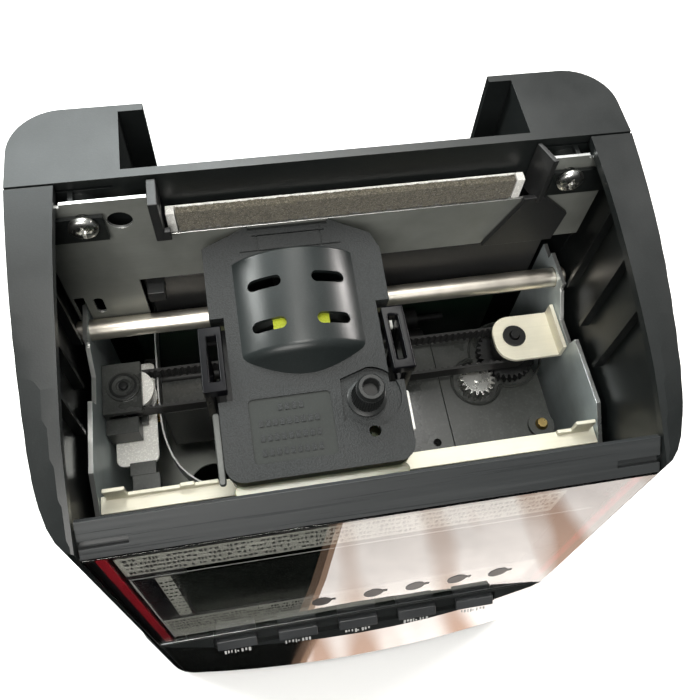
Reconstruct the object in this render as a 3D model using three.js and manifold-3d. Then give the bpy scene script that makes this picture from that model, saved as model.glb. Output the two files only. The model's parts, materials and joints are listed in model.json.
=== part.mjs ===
// Desktop time recorder with its top cover off: case, card guide, dot-matrix carriage with a ribbon
// cassette, belt drive, card feed, display and keys. Millimetres, +Z up, the feet stand on z = 0.
//
// Everything is drawn from one datum: the middle of the seam between the two case halves, at the top.
// There x runs to the right, y to the back and z up, so the front is -y and lower things are -z.

import * as THREE from "three";
import { mergeVertices } from "three/addons/utils/BufferGeometryUtils.js";
import Module from "manifold-3d";

const wasm = await Module();
wasm.setup();

// ---------------------------------------------------------------- driving dimensions

const HALF_WIDTH = 79;              // case, at the seam
const REAR_DEPTH = 24;              // seam to the back
const FRONT_TOP = 82;               // seam to the front face, at the window's upper edge
const SIDE_TAPER = 0.022;           // the sides close in by this much per millimetre to the front
const HEIGHT = 207;                 // feet to the top of the shoulders
const CASE_BOTTOM = -203;
const WALL = 2.2;
const ROOF = 2.6;
const GAP = 0.3;                    // between pieces that touch on the real object

const LEAN_START = -31;             // above this line the front face is plumb, below it leans out
const LEAN = 0.000615;              // growth of y per millimetre of depth below that line
const SLOPE_LINEAR = 0.109;         // the roof falls by this times the distance from the seam
const SLOPE_SQUARE = 0.00268;       // and this times its square

const WINDOW_TOP = -32.2;
const WINDOW_BOTTOM = -140.3;
const SHELF_TOP = [-87.55, -141];   // y, z of the key shelf's upper edge
const SHELF_EDGE = [-94.6, -149.5]; // and of its front edge
const SHELF_THICKNESS = 4.4;
const BULGE_FRONT = 87.2;           // the lower panel at its middle, before the lean
const BULGE_SIDE = 82.8;            // and at x = 66
const UNDERCUT_TOP = -198;          // the lower panel turns under below this
const KEY_PITCH = 21.8;
const KEY_COUNT = 5;

const NOTCH_HALF = 52;              // card recess between the shoulders
const NOTCH_FLOOR = -60;
const NOTCH_MOUTH = 45.8;           // its opening in the back wall
const SEAM = 0.3;                   // each case half stops this far from the seam plane

const PLATE_FRONT = -4.3;           // front face of the steel card plate
const PLATE_THICKNESS = 0.9;
const SCREW_X = 62.8;
const SCREW_Z = -9;

const CHASSIS_INNER = 72.1;         // inner faces of the two side plates
const CHASSIS_THICKNESS = 1.3;
const CHASSIS_BOTTOM = -120;
const SHAFT_RADIUS = 3.1;
const SHAFT_Y = -7.7;
const SHAFT_Z = -56;

const TILT = Math.atan(0.1654);     // the cassette's top falls to the front
const CASSETTE_Y = -5;
const CASSETTE_Z = -17;
const HEAD_X = -13;                 // middle of the print head and of the cassette's hump
const HEAD_Z = -38.7;
const KNOB_X = 0.5;
const KNOB_V = -49.7;               // knob's place down the cassette's slope

const BELT_Y = -22.2;               // both pulley axes
const BELT_RADIUS = 6.1;            // pitch radius
const BELT_THICKNESS = 1.2;
const BELT_TOP = -70.3;
const BELT_BOTTOM = -75;
const DRIVE_X = 57.8;
const IDLER_X = -63.4;
const GEAR_MODULE = 0.6;
const GEAR_TEETH = 31;
const PINION_TEETH = 18;
const PINION_ANGLE = 3.753;         // direction from the drive gear's axis to the pinion's
const DECK_TOP = -78.4;

const FEED_Y = -9;
const FEED_Z = -92;
const FEED_RADIUS = 7;
const PINCH_RADIUS = 4;
const FEED_TEETH = 24;
const FEED_PINION_TEETH = 12;

// ---------------------------------------------------------------- materials

function finish(color, roughness, metalness = 0) {
  return new THREE.MeshStandardMaterial({ color, roughness, metalness });
}
const blackPlastic = finish(0x1d1f21, 0.55);
const glossBlack = finish(0x0c0d0f, 0.15);
const greyPlastic = finish(0x4b4e52, 0.6);
const bezelGrey = finish(0x84878d, 0.4);
const clearPlastic = finish(0xd8e0e4, 0.05);
const redPlastic = finish(0x9a2028, 0.3);
const whitePlastic = finish(0xe6e4dc, 0.6);
const olivePlastic = finish(0x8d9078, 0.35);
const coverPlastic = finish(0x3c4044, 0.7);
const lcdGlass = finish(0x2e332c, 0.2);
const boardGreen = finish(0x2f5a3a, 0.5);
const greySteel = finish(0x9aa09c, 0.45, 0.8);
const zinc = finish(0xd8d4b8, 0.35, 0.9);
const brightSteel = finish(0xd9dadb, 0.2, 1);
const brass = finish(0xc9a35a, 0.35, 0.9);
const felt = finish(0x8a8170, 0.95);
const rubber = finish(0x1a1a1a, 0.9);

// ---------------------------------------------------------------- solids

// A closed solid from a three.js geometry, its faces turned outward.
function solid(geometry) {
  geometry.deleteAttribute("normal");
  geometry.deleteAttribute("uv");
  const welded = mergeVertices(geometry, 1e-4);
  const corner = (i) => new THREE.Vector3().fromBufferAttribute(welded.attributes.position, i);
  const triangles = [];
  let volume = 0;
  for (let i = 0; i < welded.index.count; i += 3) {
    const [a, b, c] = [0, 1, 2].map((k) => welded.index.getX(i + k));
    if (a === b || b === c || c === a) continue;
    triangles.push(a, b, c);
    volume += corner(a).dot(corner(b).cross(corner(c)));
  }
  if (volume < 0) triangles.reverse();
  return new wasm.Manifold(new wasm.Mesh({
    numProp: 3,
    vertProperties: new Float32Array(welded.attributes.position.array),
    triVerts: new Uint32Array(triangles),
  }));
}

const joined = (...shapes) => shapes.flat().reduce((a, b) => a.add(b));
const cut = (shape, ...tools) => tools.flat().reduce((a, b) => a.subtract(b), shape);

function blockGeometry([x0, x1], [y0, y1], [z0, z1]) {
  const geometry = new THREE.BoxGeometry(x1 - x0, y1 - y0, z1 - z0);
  return geometry.translate((x0 + x1) / 2, (y0 + y1) / 2, (z0 + z1) / 2);
}
const block = (x, y, z) => solid(blockGeometry(x, y, z));

const X = new THREE.Vector3(1, 0, 0);
const Y = new THREE.Vector3(0, 1, 0);
const Z = new THREE.Vector3(0, 0, 1);
const BASES = {
  x: new THREE.Matrix4().makeBasis(Y, Z, X),
  y: new THREE.Matrix4().makeBasis(X, Z, Y.clone().negate()),
  z: new THREE.Matrix4(),
};

// An outline of [y, z], [x, z] or [x, y] points, or a Shape, run along x, y or z.
function prismGeometry(axis, outline, from, to) {
  const points = (list) => list.map(([a, b]) => new THREE.Vector2(a, b));
  const shape = outline instanceof THREE.Shape ? outline : new THREE.Shape(points(outline));
  const options = { depth: to - from, bevelEnabled: false, curveSegments: 6 };
  const geometry = new THREE.ExtrudeGeometry(shape, options).applyMatrix4(BASES[axis]);
  const shift = axis === "y" ? to : from;
  return geometry.translate(...["x", "y", "z"].map((name) => (name === axis ? shift : 0)));
}
const prism = (axis, outline, from, to) => solid(prismGeometry(axis, outline, from, to));

// A round bar along an axis; centre gives the two other coordinates in x, y, z order.
function rodGeometry(axis, radius, centre, from, to, segments = 24, endRadius = radius) {
  const geometry = new THREE.CylinderGeometry(endRadius, radius, to - from, segments);
  if (axis === "x") geometry.rotateZ(-Math.PI / 2);
  if (axis === "z") geometry.rotateX(Math.PI / 2);
  const middle = (from + to) / 2;
  const place = { x: [middle, ...centre], y: [centre[0], middle, centre[1]], z: [...centre, middle] };
  return geometry.translate(...place[axis]);
}
const rod = (...args) => solid(rodGeometry(...args));

// A turned piece: [radius, height] points that start and end on the axis, standing along z.
function turned(profile, segments = 24) {
  const geometry = new THREE.LatheGeometry(profile.map(([r, h]) => new THREE.Vector2(r, h)), segments);
  return geometry.rotateX(Math.PI / 2);
}

function roundedOutline([x0, x1], [y0, y1], radius) {
  const shape = new THREE.Shape();
  shape.absarc(x1 - radius, y1 - radius, radius, 0, Math.PI / 2);
  shape.absarc(x0 + radius, y1 - radius, radius, Math.PI / 2, Math.PI);
  shape.absarc(x0 + radius, y0 + radius, radius, Math.PI, Math.PI * 1.5);
  shape.absarc(x1 - radius, y0 + radius, radius, Math.PI * 1.5, Math.PI * 2);
  return shape;
}

// A spur gear's outline with straight-sided teeth.
function gearOutline(teeth, backlash = 0.1) {
  const pitch = (GEAR_MODULE * teeth) / 2;
  const tip = pitch + GEAR_MODULE * 0.9 - backlash;
  const root = pitch - GEAR_MODULE * 1.25;
  const step = (Math.PI * 2) / teeth;
  const points = [];
  for (let i = 0; i < teeth; i += 1) {
    for (const [radius, share] of [[root, -0.34], [tip, -0.13], [tip, 0.13], [root, 0.34]]) {
      points.push([radius * Math.cos((i + share) * step), radius * Math.sin((i + share) * step)]);
    }
  }
  return points;
}

// ---------------------------------------------------------------- the model

const object = new THREE.Group();
const leanAt = (z) => 1 + LEAN * (LEAN_START - z);
const FRONT_DEPTH = BULGE_FRONT * leanAt(UNDERCUT_TOP);
const datum = new THREE.Group();
datum.position.set(0, (FRONT_DEPTH - REAR_DEPTH) / 2, HEIGHT);
object.add(datum);

// The cassette's own frame: its top surface is the plane z = 0, its nose is at y = 0.
const cassette = new THREE.Group();
cassette.position.set(0, CASSETTE_Y, CASSETTE_Z);
cassette.rotation.x = TILT;
datum.add(cassette);

// The key shelf's own frame: y runs up the shelf, z stands out of it.
const shelfRun = [SHELF_TOP[0] - SHELF_EDGE[0], SHELF_TOP[1] - SHELF_EDGE[1]];
const shelfUp = new THREE.Vector3(0, ...shelfRun).normalize();
const shelfOut = new THREE.Vector3().crossVectors(X, shelfUp);
const shelf = new THREE.Group();
shelf.position.set(0, ...SHELF_TOP);
shelf.rotation.x = Math.atan2(shelfUp.z, shelfUp.y);
datum.add(shelf);
shelf.updateMatrix();

function part(name, shape, material, parent = datum) {
  const { vertProperties, triVerts } = shape.getMesh();
  const geometry = new THREE.BufferGeometry();
  geometry.setAttribute("position", new THREE.BufferAttribute(new Float32Array(vertProperties), 3));
  geometry.setIndex(new THREE.BufferAttribute(new Uint32Array(triVerts), 1));
  geometry.computeVertexNormals();
  const mesh = new THREE.Mesh(geometry, material);
  mesh.name = name;
  parent.add(mesh);
}

const SIDES = { left: -1, right: 1 };
const mirroredRange = (side, near, far) => (side > 0 ? [near, far] : [-far, -near]);
const bothSides = (make) => joined(make(-1), make(1));

// ---------------------------------------------------------------- case

// Points move to the front in step with their depth, as the leaning front face does.
function leaned(geometry) {
  const position = geometry.attributes.position;
  for (let i = 0; i < position.count; i += 1) {
    position.setY(i, position.getY(i) * leanAt(position.getZ(i)));
  }
  return solid(geometry);
}
const leanedBlock = (x, y, z) => leaned(blockGeometry(x, y, z));

const roofAt = (run) => -(SLOPE_LINEAR * run + SLOPE_SQUARE * run * run);
const sideAt = (run) => HALF_WIDTH - SIDE_TAPER * run;

// Plan of the front case half: straight sides, rounded corners, flat front.
function upperPlan(inset, rear) {
  const front = -FRONT_TOP + inset;
  const shape = new THREE.Shape();
  shape.moveTo(sideAt(0) - inset, rear);
  shape.lineTo(sideAt(60) - inset, -60);
  shape.quadraticCurveTo(sideAt(80) - inset, front + 2, 69.5 - inset / 2, front);
  shape.lineTo(-69.5 + inset / 2, front);
  shape.quadraticCurveTo(-sideAt(80) + inset, front + 2, -sideAt(60) + inset, -60);
  shape.lineTo(-sideAt(0) + inset, rear);
  return shape;
}

// Plan of the lower panel, which bows out to the front.
function bulgePlan(inset) {
  const half = 66;
  const rise = BULGE_FRONT - BULGE_SIDE;
  const radius = (half * half + rise * rise) / (2 * rise);
  const reach = Math.asin(half / radius);
  const shape = new THREE.Shape();
  shape.moveTo(75.8 - inset, -60);
  shape.lineTo(75.8 - inset, -75.5);
  shape.quadraticCurveTo(74.8 - inset, -81.2 + inset, half - inset / 2, -BULGE_SIDE + inset);
  for (let i = 5; i >= -5; i -= 1) {
    const angle = (reach * i) / 5;
    const y = -BULGE_FRONT + radius * (1 - Math.cos(angle)) + inset;
    shape.lineTo(radius * Math.sin(angle) * (1 - inset / 132), y);
  }
  shape.quadraticCurveTo(-74.8 + inset, -81.2 + inset, -75.8 + inset, -75.5);
  shape.lineTo(-75.8 + inset, -60);
  return shape;
}

// Everything below the sloping roof, seen from the side.
function underRoof(drop) {
  const points = [[5, -drop]];
  for (let run = 0; run <= 96; run += 8) points.push([-run, roofAt(run) - drop]);
  points.push([-110, roofAt(96) - drop], [-110, CASE_BOTTOM - 5], [5, CASE_BOTTOM - 5]);
  return prism("x", points, -90, 90);
}

// What stands above the shelf plane, moved inward along its normal by depth.
function aboveShelf(depth) {
  const [y, z] = [SHELF_TOP[0] - depth * shelfOut.y, SHELF_TOP[1] - depth * shelfOut.z];
  const back = 10 * depth / SHELF_THICKNESS;
  const outline = [
    [y + back * shelfUp.y, z + back * shelfUp.z],
    [y - 16 * shelfUp.y, z - 16 * shelfUp.z],
    [-112, z],
    [-112, z + 20],
    [y + back * shelfUp.y, z + 20],
  ];
  return prism("x", outline, -90, 90);
}

function undercut(inset) {
  const front = -FRONT_DEPTH + inset;
  const outline = [
    [front - 2, UNDERCUT_TOP + 2],
    [front + 8, UNDERCUT_TOP - 8],
    [front - 9, UNDERCUT_TOP - 9],
  ];
  return prism("x", outline, -90, 90);
}

function frontShell(inset, drop, rear, bottom) {
  const upper = leaned(prismGeometry("z", upperPlan(inset, rear), bottom, 1)).intersect(underRoof(drop));
  const lower = leaned(prismGeometry("z", bulgePlan(inset), bottom, SHELF_TOP[1] + 1));
  return joined(upper, cut(lower, aboveShelf(inset > 0 ? SHELF_THICKNESS : 0), undercut(inset)));
}

// The outer edge of each roof rim is bevelled, wider and steeper towards the front.
function rimBevel(side, depth = 0) {
  const runs = [24, 32, 40, 48, 56, 64, 72, 80, 88, 96];
  const corners = runs.flatMap((run) => {
    const steepness = 0.0085 * (run - 24);
    const crease = 74.6 - 0.0735 * (run - 24);
    const height = roofAt(run) + 0.05 - depth;
    const facetAt = (x) => [side * (x - depth), -run, height - steepness * (x - crease)];
    return [facetAt(crease - 3), facetAt(88), [side * (88 - depth), -run, 8]].flat();
  });
  const indices = [0, 1, 2];
  for (let base = 0; base < 3 * (runs.length - 1); base += 3) {
    for (const [a, b] of [[0, 1], [1, 2], [2, 0]]) {
      indices.push(base + a, base + a + 3, base + b, base + b, base + a + 3, base + b + 3);
    }
  }
  const last = 3 * (runs.length - 1);
  indices.push(last, last + 2, last + 1);
  const geometry = new THREE.BufferGeometry();
  geometry.setAttribute("position", new THREE.Float32BufferAttribute(corners, 3));
  geometry.setIndex(indices);
  return solid(geometry);
}

const keyX = (index) => (index - (KEY_COUNT - 1) / 2) * KEY_PITCH;
const onShelf = (x, y, z) => solid(blockGeometry(x, y, z).applyMatrix4(shelf.matrix));

function keyOpenings() {
  const tools = [onShelf([-51.8, 51.8], [-5.7, -0.9], [-2.2, 3])];
  for (let i = 0; i < KEY_COUNT; i += 1) {
    tools.push(onShelf([keyX(i) - 6.4, keyX(i) + 6.4], [-5, -1.6], [-8, 0]));
  }
  return tools;
}

// Thin upright ribs inside the side walls.
function wallRibs(side) {
  return joined([14, 28, 42].map((run) => {
    const outer = sideAt(run) - 1;
    return block(mirroredRange(side, outer - 4, outer), [-run - 0.6, -run + 0.6], [-52, roofAt(run) - 2]);
  }));
}

// The lug on each side wall that the card plate's screw holds down.
const plateLug = (side) => block(mirroredRange(side, 57.8, 77.4), [-6, -5], [-15.5, -6.5]);

function mainCase() {
  const outer = frontShell(0, 0, -SEAM, CASE_BOTTOM);
  const inner = frontShell(WALL, ROOF, 3, CASE_BOTTOM - 3);
  const opening = prism("z", [
    [67.6, 1], [-67.6, 1], [-68.3, -15], [-69, -39], [-69.9, -60], [-69.9, -100],
    [69.9, -100], [69.9, -60], [69, -39], [68.3, -15],
  ], LEAN_START - 3, 1);
  const window = leanedBlock([-70.2, 70.2], [-90, -76], [WINDOW_BOTTOM - GAP, LEAN_START]);
  const crossBar = block([-72.4, 72.4], [-79.5, -74.6], [-34.4, -32]);
  const windowRails = bothSides((side) => (
    leanedBlock(mirroredRange(side, 65, 73.2), [-78.6, -77.2], [-146, -33])
  ));
  const screwHoles = bothSides((side) => rod("y", 2.3, [side * SCREW_X, SCREW_Z], -8, -3, 16));
  const cavity = cut(inner, bothSides((side) => rimBevel(side, 2.2)));
  return cut(
    joined(
      cut(outer, cavity, opening, window),
      crossBar,
      windowRails,
      bothSides(wallRibs),
      bothSides(plateLug),
    ),
    screwHoles,
    bothSides((side) => rimBevel(side)),
    keyOpenings(),
  );
}

function rearPlan(inset, front) {
  const corner = 13;
  const side = HALF_WIDTH - inset;
  const back = REAR_DEPTH - inset;
  const shape = new THREE.Shape();
  shape.moveTo(-side, front);
  shape.lineTo(side, front);
  shape.absarc(HALF_WIDTH - corner, REAR_DEPTH - corner, corner - inset, 0, Math.PI / 2);
  shape.lineTo(-HALF_WIDTH + corner, back);
  shape.absarc(-HALF_WIDTH + corner, REAR_DEPTH - corner, corner - inset, Math.PI / 2, Math.PI);
  return shape;
}

// A wall-hanging hole: a round entry below a narrower slot.
function keyhole(x) {
  const outline = new THREE.Shape();
  outline.absarc(x, -100, 4.5, Math.PI * 0.66, Math.PI * 2.34);
  outline.absarc(x, -90, 2.3, 0, Math.PI);
  return prism("y", outline, 15, 30);
}

function rearVents() {
  const slots = [];
  for (let row = 0; row < 5; row += 1) {
    slots.push(block([10, 50], [15, 30], [-150 - row * 7, -147 - row * 7]));
  }
  return slots;
}

function rearCase() {
  const outer = prism("z", rearPlan(0, SEAM), CASE_BOTTOM, 0);
  const inner = prism("z", rearPlan(WALL, -1), CASE_BOTTOM - 1, -ROOF);
  const linerX = NOTCH_HALF + 2.4;
  const liner = block([-linerX, linerX], [SEAM, REAR_DEPTH - 0.5], [NOTCH_FLOOR - 2.4, -0.1]);
  const notch = block([-NOTCH_HALF, NOTCH_HALF], [2.8, REAR_DEPTH - WALL], [NOTCH_FLOOR, 1]);
  const mouthOutline = roundedOutline([-NOTCH_MOUTH, NOTCH_MOUTH], [NOTCH_FLOOR, 20], 6);
  const web = (side) => block(mirroredRange(side, NOTCH_HALF + 2, 77.4), [SEAM, 2.2], [-22, -3.4]);
  const boss = (side) => rod("y", 4.5, [side * SCREW_X, SCREW_Z], -3.1, 1, 20);
  const rib = (side) => block(mirroredRange(side, 64, 65.2), [-3.1, 1], [-20, -3.4]);
  const screwHole = (side) => rod("y", 2.1, [side * SCREW_X, SCREW_Z], -8, 1.2, 16);
  return cut(
    joined(cut(outer, inner), liner, bothSides(web), bothSides(boss), bothSides(rib)),
    notch,
    prism("y", mouthOutline, 18, 30),
    bothSides(screwHole),
    keyhole(-32),
    keyhole(32),
    rearVents(),
    block([-58, -34], [15, 30], [-188, -170]),
  );
}

const FEET = [[-62, -78], [62, -78], [-62, 12], [62, 12]];

function baseCover() {
  const top = CASE_BOTTOM - GAP;
  const thickness = 1.7;
  const upper = leaned(prismGeometry("z", upperPlan(1, 1), top - thickness, top));
  const bowed = leaned(prismGeometry("z", bulgePlan(1), top - thickness, top));
  const front = cut(joined(upper, bowed), undercut(1));
  const rear = prism("z", rearPlan(1, 0), top - thickness, top);
  const rim = [
    block([-70, 70], [-80, -78], [top - 1, top + 5]),
    block([-70, 70], [16, 18], [top - 1, top + 5]),
    block([-70, -68], [-80, 18], [top - 1, top + 5]),
    block([68, 70], [-80, 18], [top - 1, top + 5]),
  ];
  const footSeats = FEET.map((place) => rod("z", 6.6, place, top - 3, top - thickness + 0.8, 24));
  return cut(joined(front, rear, rim), footSeats);
}

function foot(place) {
  const seat = CASE_BOTTOM - GAP - 1.7 + 0.8 - GAP;
  return rod("z", 5.2, place, -HEIGHT, seat, 24, 6.2);
}

function frontBezel() {
  const upper = [-75.2, -24.2];
  const lower = [-82, -30.6];
  const inward = [1.1, -1.17];
  const behind = ([y, z]) => [y + inward[0], z + inward[1]];
  const outline = [upper, lower, behind(lower), behind(upper)];
  const slot = [[-79.2, -27], [-80.6, -28.3], [-79.2, -30], [-77.6, -28.7]];
  const endSlot = (side) => prism("x", slot, ...mirroredRange(side, 58.4, 71));
  return cut(prism("x", outline, -69.5, 69.5), bothSides(endSlot));
}

part("main_case", mainCase(), blackPlastic);
part("rear_case", rearCase(), blackPlastic);
part("base_cover", baseCover(), blackPlastic);
FEET.forEach((place, i) => part(`foot_${i + 1}`, foot(place), rubber));
part("front_bezel", frontBezel(), bezelGrey);

// ---------------------------------------------------------------- display and keys

const WINDOW_BACK = -80;
const windowPane = () => (
  leanedBlock([-69.8, 69.8], [-FRONT_TOP, WINDOW_BACK], [WINDOW_BOTTOM, WINDOW_TOP])
);
const trim = (side) => leanedBlock(mirroredRange(side, 65.2, 67.6), [-79.6, -78.9], [-139, -34.8]);

function displayMask() {
  const plate = leanedBlock([-64.6, 64.6], [-78.6, -77.4], [-138, -34.8]);
  return cut(plate, leanedBlock([-50, 50], [-90, -70], [-96, -44]));
}

part("display_window", windowPane(), clearPlastic);
for (const [name, side] of Object.entries(SIDES)) part(`window_trim_${name}`, trim(side), redPlastic);
part("display_mask", displayMask(), glossBlack);
part("lcd_module", leanedBlock([-53, 53], [-77.1, -73.5], [-99, -41]), lcdGlass);
part("display_board", leanedBlock([-62, 62], [-73.2, -71.6], [-136, -38]), boardGreen);

// A key: cap in the groove, stem through the shelf, flange behind it.
function modeKey(index) {
  const x = keyX(index);
  return joined(
    block([x - 7, x + 7], [-5.3, -1.3], [-0.9, 1.6]),
    block([x - 6, x + 6], [-4.6, -2], [-5.4, -0.5]),
    block([x - 7, x + 7], [-5.3, -1.3], [-6.2, -5]),
  );
}

function keyBoard() {
  const switches = Array.from({ length: KEY_COUNT }, (_, i) => (
    block([keyX(i) - 3, keyX(i) + 3], [-6, -0.6], [-8.8, -7.5])
  ));
  return joined(block([-55, 55], [-8, 0.6], [-10, -8.4]), switches);
}

for (let i = 0; i < KEY_COUNT; i += 1) part(`mode_key_${i + 1}`, modeKey(i), greyPlastic, shelf);
part("key_board", keyBoard(), boardGreen, shelf);

// ---------------------------------------------------------------- chassis

function chassisSide(side) {
  const outline = [
    [4, -54], [-14.5, -54], [-21, -60.7], [-30, -60.7], [-31, -55.6], [-52.5, -55.6],
    [-58.5, -60.2], [-62.5, -63], [-62.5, CHASSIS_BOTTOM], [4, CHASSIS_BOTTOM],
  ];
  const thickness = mirroredRange(side, CHASSIS_INNER, CHASSIS_INNER + CHASSIS_THICKNESS);
  const plate = prism("x", outline, ...thickness);
  const neck = block(thickness, [SHAFT_Y - 6, SHAFT_Y + 6], [-60, -51]);
  const feedHole = rod("x", 2.6, [FEED_Y, FEED_Z], -80, 80, 16);
  return cut(joined(plate, neck), rod("x", SHAFT_RADIUS + GAP, [SHAFT_Y, SHAFT_Z], -80, 80, 32), feedHole);
}

function frontRail() {
  const half = CHASSIS_INNER - GAP;
  const tab = (side) => block(mirroredRange(side, 64.2, 70.2), [-58.4, -57.2], [-63, -55.8]);
  return joined(
    block([-half, half], [-62.3, -57.2], [-63.4, -62.2]),
    block([-half, half], [-62.3, -61.1], [-70, -62.6]),
    bothSides(tab),
    block([-64.4, -39.5], [-58.4, -57.2], [-63, -60.8]),
    block([-50, -46], [-58.4, -57.2], [-61, -59.6]),
    block([60, 64.6], [-58.4, -57.2], [-63, -60.8]),
  );
}

function chassisFloor() {
  const half = CHASSIS_INNER - GAP;
  const plate = block([-half, half], [-62, 3.5], [CHASSIS_BOTTOM - 1.2, CHASSIS_BOTTOM]);
  const cardSlot = block([-46, 46], [-3, 1], [-130, -110]);
  return cut(plate, cardSlot, rod("z", 9, [45, -30], -130, -110), rod("z", 9, [-45, -40], -130, -110));
}

for (const [name, side] of Object.entries(SIDES)) part(`chassis_${name}`, chassisSide(side), greySteel);
part("chassis_floor", chassisFloor(), greySteel);
part("front_rail", frontRail(), zinc);

// ---------------------------------------------------------------- card guide

function cardPlate() {
  const outline = [
    [-75, -3.6], [-67.2, -3.6], [-67.2, -2.6], [-46.6, -2.6], [-46.6, -17.9], [56.8, -17.9],
    [56.8, -2.6], [67.2, -2.6], [67.2, -3.6], [75, -3.6], [75, -37.4], [-54.5, -37.4],
    [-54.5, -66], [-75, -66],
  ];
  return cut(
    prism("y", outline, PLATE_FRONT, PLATE_FRONT + PLATE_THICKNESS),
    rod("y", 3.1, [-54.3, -10.4], -8, 0),
    bothSides((side) => rod("y", 2.3, [side * SCREW_X, SCREW_Z], -8, 0, 16)),
    block([-74.2, -71.3], [-8, 0], [-80, -43.5]),
    prism("y", roundedOutline([-69, -66.4], [-52, -44.5], 1.2), -8, 0),
  );
}

const cardGuideLeft = () => joined(
  block([-46.3, -44], [-8.2, -0.1], [-15.5, -1]),
  block([-46.3, -42.4], [-8.2, -6.6], [-15.5, -12]),
);

function cardGuideRight() {
  const fin = prism("z", [[53.4, -0.1], [54.6, -0.1], [57.4, -6.6], [56, -6.6]], -17.5, -1);
  const funnel = [[52.2, -15.9], [58.2, -15.9], [67.2, -24.5], [66, -36.4], [44.4, -36.4], [52.2, -18.5]];
  return joined(fin, prism("y", funnel, -6.2, -4.8));
}

function lowerGuide() {
  return joined(
    block([-53, 66], [-2.4, -0.6], [-72, -40.4]),
    block([-53, 66], [-2.4, 0], [-42.6, -40.4]),
    block([-53, -48.2], [-7.4, -1], [-44.5, -40.4]),
  );
}

part("card_plate", cardPlate(), greySteel);
part("card_guide_left", cardGuideLeft(), blackPlastic);
part("card_guide_right", cardGuideRight(), blackPlastic);
part("lower_guide", lowerGuide(), blackPlastic);
part("felt_strip", block([-40.7, 48.9], [-4.2, -2], [-17.4, -10]), felt);
part("felt_holder", joined(
  block([-43.2, 51.4], [-1.7, -1], [-17, -10.6]),
  block([-43.2, -41], [-4.2, -1.5], [-17.4, -10]),
  block([49.2, 51.4], [-4.2, -1.5], [-17.4, -10]),
), whitePlastic);

// A pan-head screw with a cross recess, driven in from the front.
function plateScrew(side) {
  const profile = [[0, 0], [3.6, 0], [3.6, 0.9], [2.9, 1.6], [1.6, 2], [0, 2.1]];
  const head = solid(turned(profile, 24).rotateX(Math.PI / 2).translate(side * SCREW_X, -6.3, SCREW_Z));
  const shank = rod("y", 1.8, [side * SCREW_X, SCREW_Z], -7, 0.6, 16);
  const middle = side * SCREW_X;
  const arm = (dx, dz) => (
    block([middle - dx, middle + dx], [-9, -7.4], [SCREW_Z - dz, SCREW_Z + dz])
  );
  return cut(joined(head, shank), arm(1.9, 0.4), arm(0.4, 1.9));
}

for (const [name, side] of Object.entries(SIDES)) {
  part(`plate_screw_${name}`, plateScrew(side), brightSteel);
}

// ---------------------------------------------------------------- carriage and print head

part("carriage_shaft", rod("x", SHAFT_RADIUS, [SHAFT_Y, SHAFT_Z], -76, 75.6, 32), brightSteel);

const CARRIAGE_HALF = 21;
const cheekOutline = [[-13.8, -61], [-13.8, -36], [-30, -37.5], [-52, -41], [-52, -61]];

function carriageBody() {
  const left = HEAD_X - CARRIAGE_HALF;
  const right = HEAD_X + CARRIAGE_HALF;
  const bearing = block([left + 4, right - 4], [-13.8, -2.9], [-61, -51]);
  const platform = block([left, right], [-52, -12], [-61, -58.4]);
  const clipLugs = block([left - 5.4, right + 6.2], [-50, -31], [-61, -58.4]);
  const cheeks = [prism("x", cheekOutline, left, left + 2.2), prism("x", cheekOutline, right - 2.2, right)];
  const clamp = cut(
    block([-20, -6], [-31, -25.5], [-74.6, -60]),
    block([-22, -4], [BELT_Y - 7, BELT_Y - 5.2], [-80, BELT_TOP + 0.6]),
  );
  const shaftHole = rod("x", SHAFT_RADIUS + GAP, [SHAFT_Y, SHAFT_Z], -60, 60, 32);
  return cut(joined(bearing, platform, clipLugs, cheeks, clamp), shaftHole);
}

// The print head: a finned drum with a nose that reaches to the print line.
function printHead() {
  const drum = [
    [0, 0], [16.4, 0], [16.4, 5], [14.8, 5], [14.8, 7], [16.4, 7], [16.4, 12],
    [14.8, 12], [14.8, 14], [16.4, 14], [16.4, 18], [13.5, 20], [8, 21], [0, 21],
  ];
  const lathe = turned(drum, 28).rotateX(-Math.PI / 2).translate(HEAD_X, -38.5, HEAD_Z);
  const noseOutline = [[-5.9, -36.6], [-5.9, -40.8], [-19, -45], [-19, -32.6]];
  const nose = prism("x", noseOutline, HEAD_X - 4.5, HEAD_X + 4.5);
  const foot = block([HEAD_X - 9, HEAD_X + 9], [-36, -20], [-58, -50]);
  return joined(solid(lathe), nose, foot);
}

part("carriage", carriageBody(), blackPlastic);
part("print_head", printHead(), greyPlastic);

// Each spring clip is a looped arm on the carriage that reaches into a notch of the cassette.
function cassetteClip(side) {
  const centre = -12.6;
  const range = (near, far) => (side > 0 ? [centre + near, centre + far] : [centre - far, centre - near]);
  const arm = cut(
    block(range(24.2, 26.2), [-48, -33], [-58, -21.4]),
    block(range(23, 28), [-45.5, -35.5], [-40, -26]),
  );
  const loop = cut(
    block(range(20.4, 26.2), [-49.2, -31.2], [-24.6, -21.4]),
    block(range(21.8, 24.6), [-46.5, -34], [-30, -18]),
  );
  return joined(arm, loop);
}

for (const [name, side] of Object.entries(SIDES)) {
  part(`cassette_clip_${name}`, cassetteClip(side), glossBlack);
}

// ---------------------------------------------------------------- ribbon cassette

const CASSETTE = { left: -35.6, right: 10.4, rear: -5.4, front: -68 };
const CLIP_NOTCH = { rear: -24.8, front: -46.4, depth: 3.6 };
const HUMP = { radius: 21.7, axis: -15.2, rear: -10.1, front: -36.8, toe: -41.8 };

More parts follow.
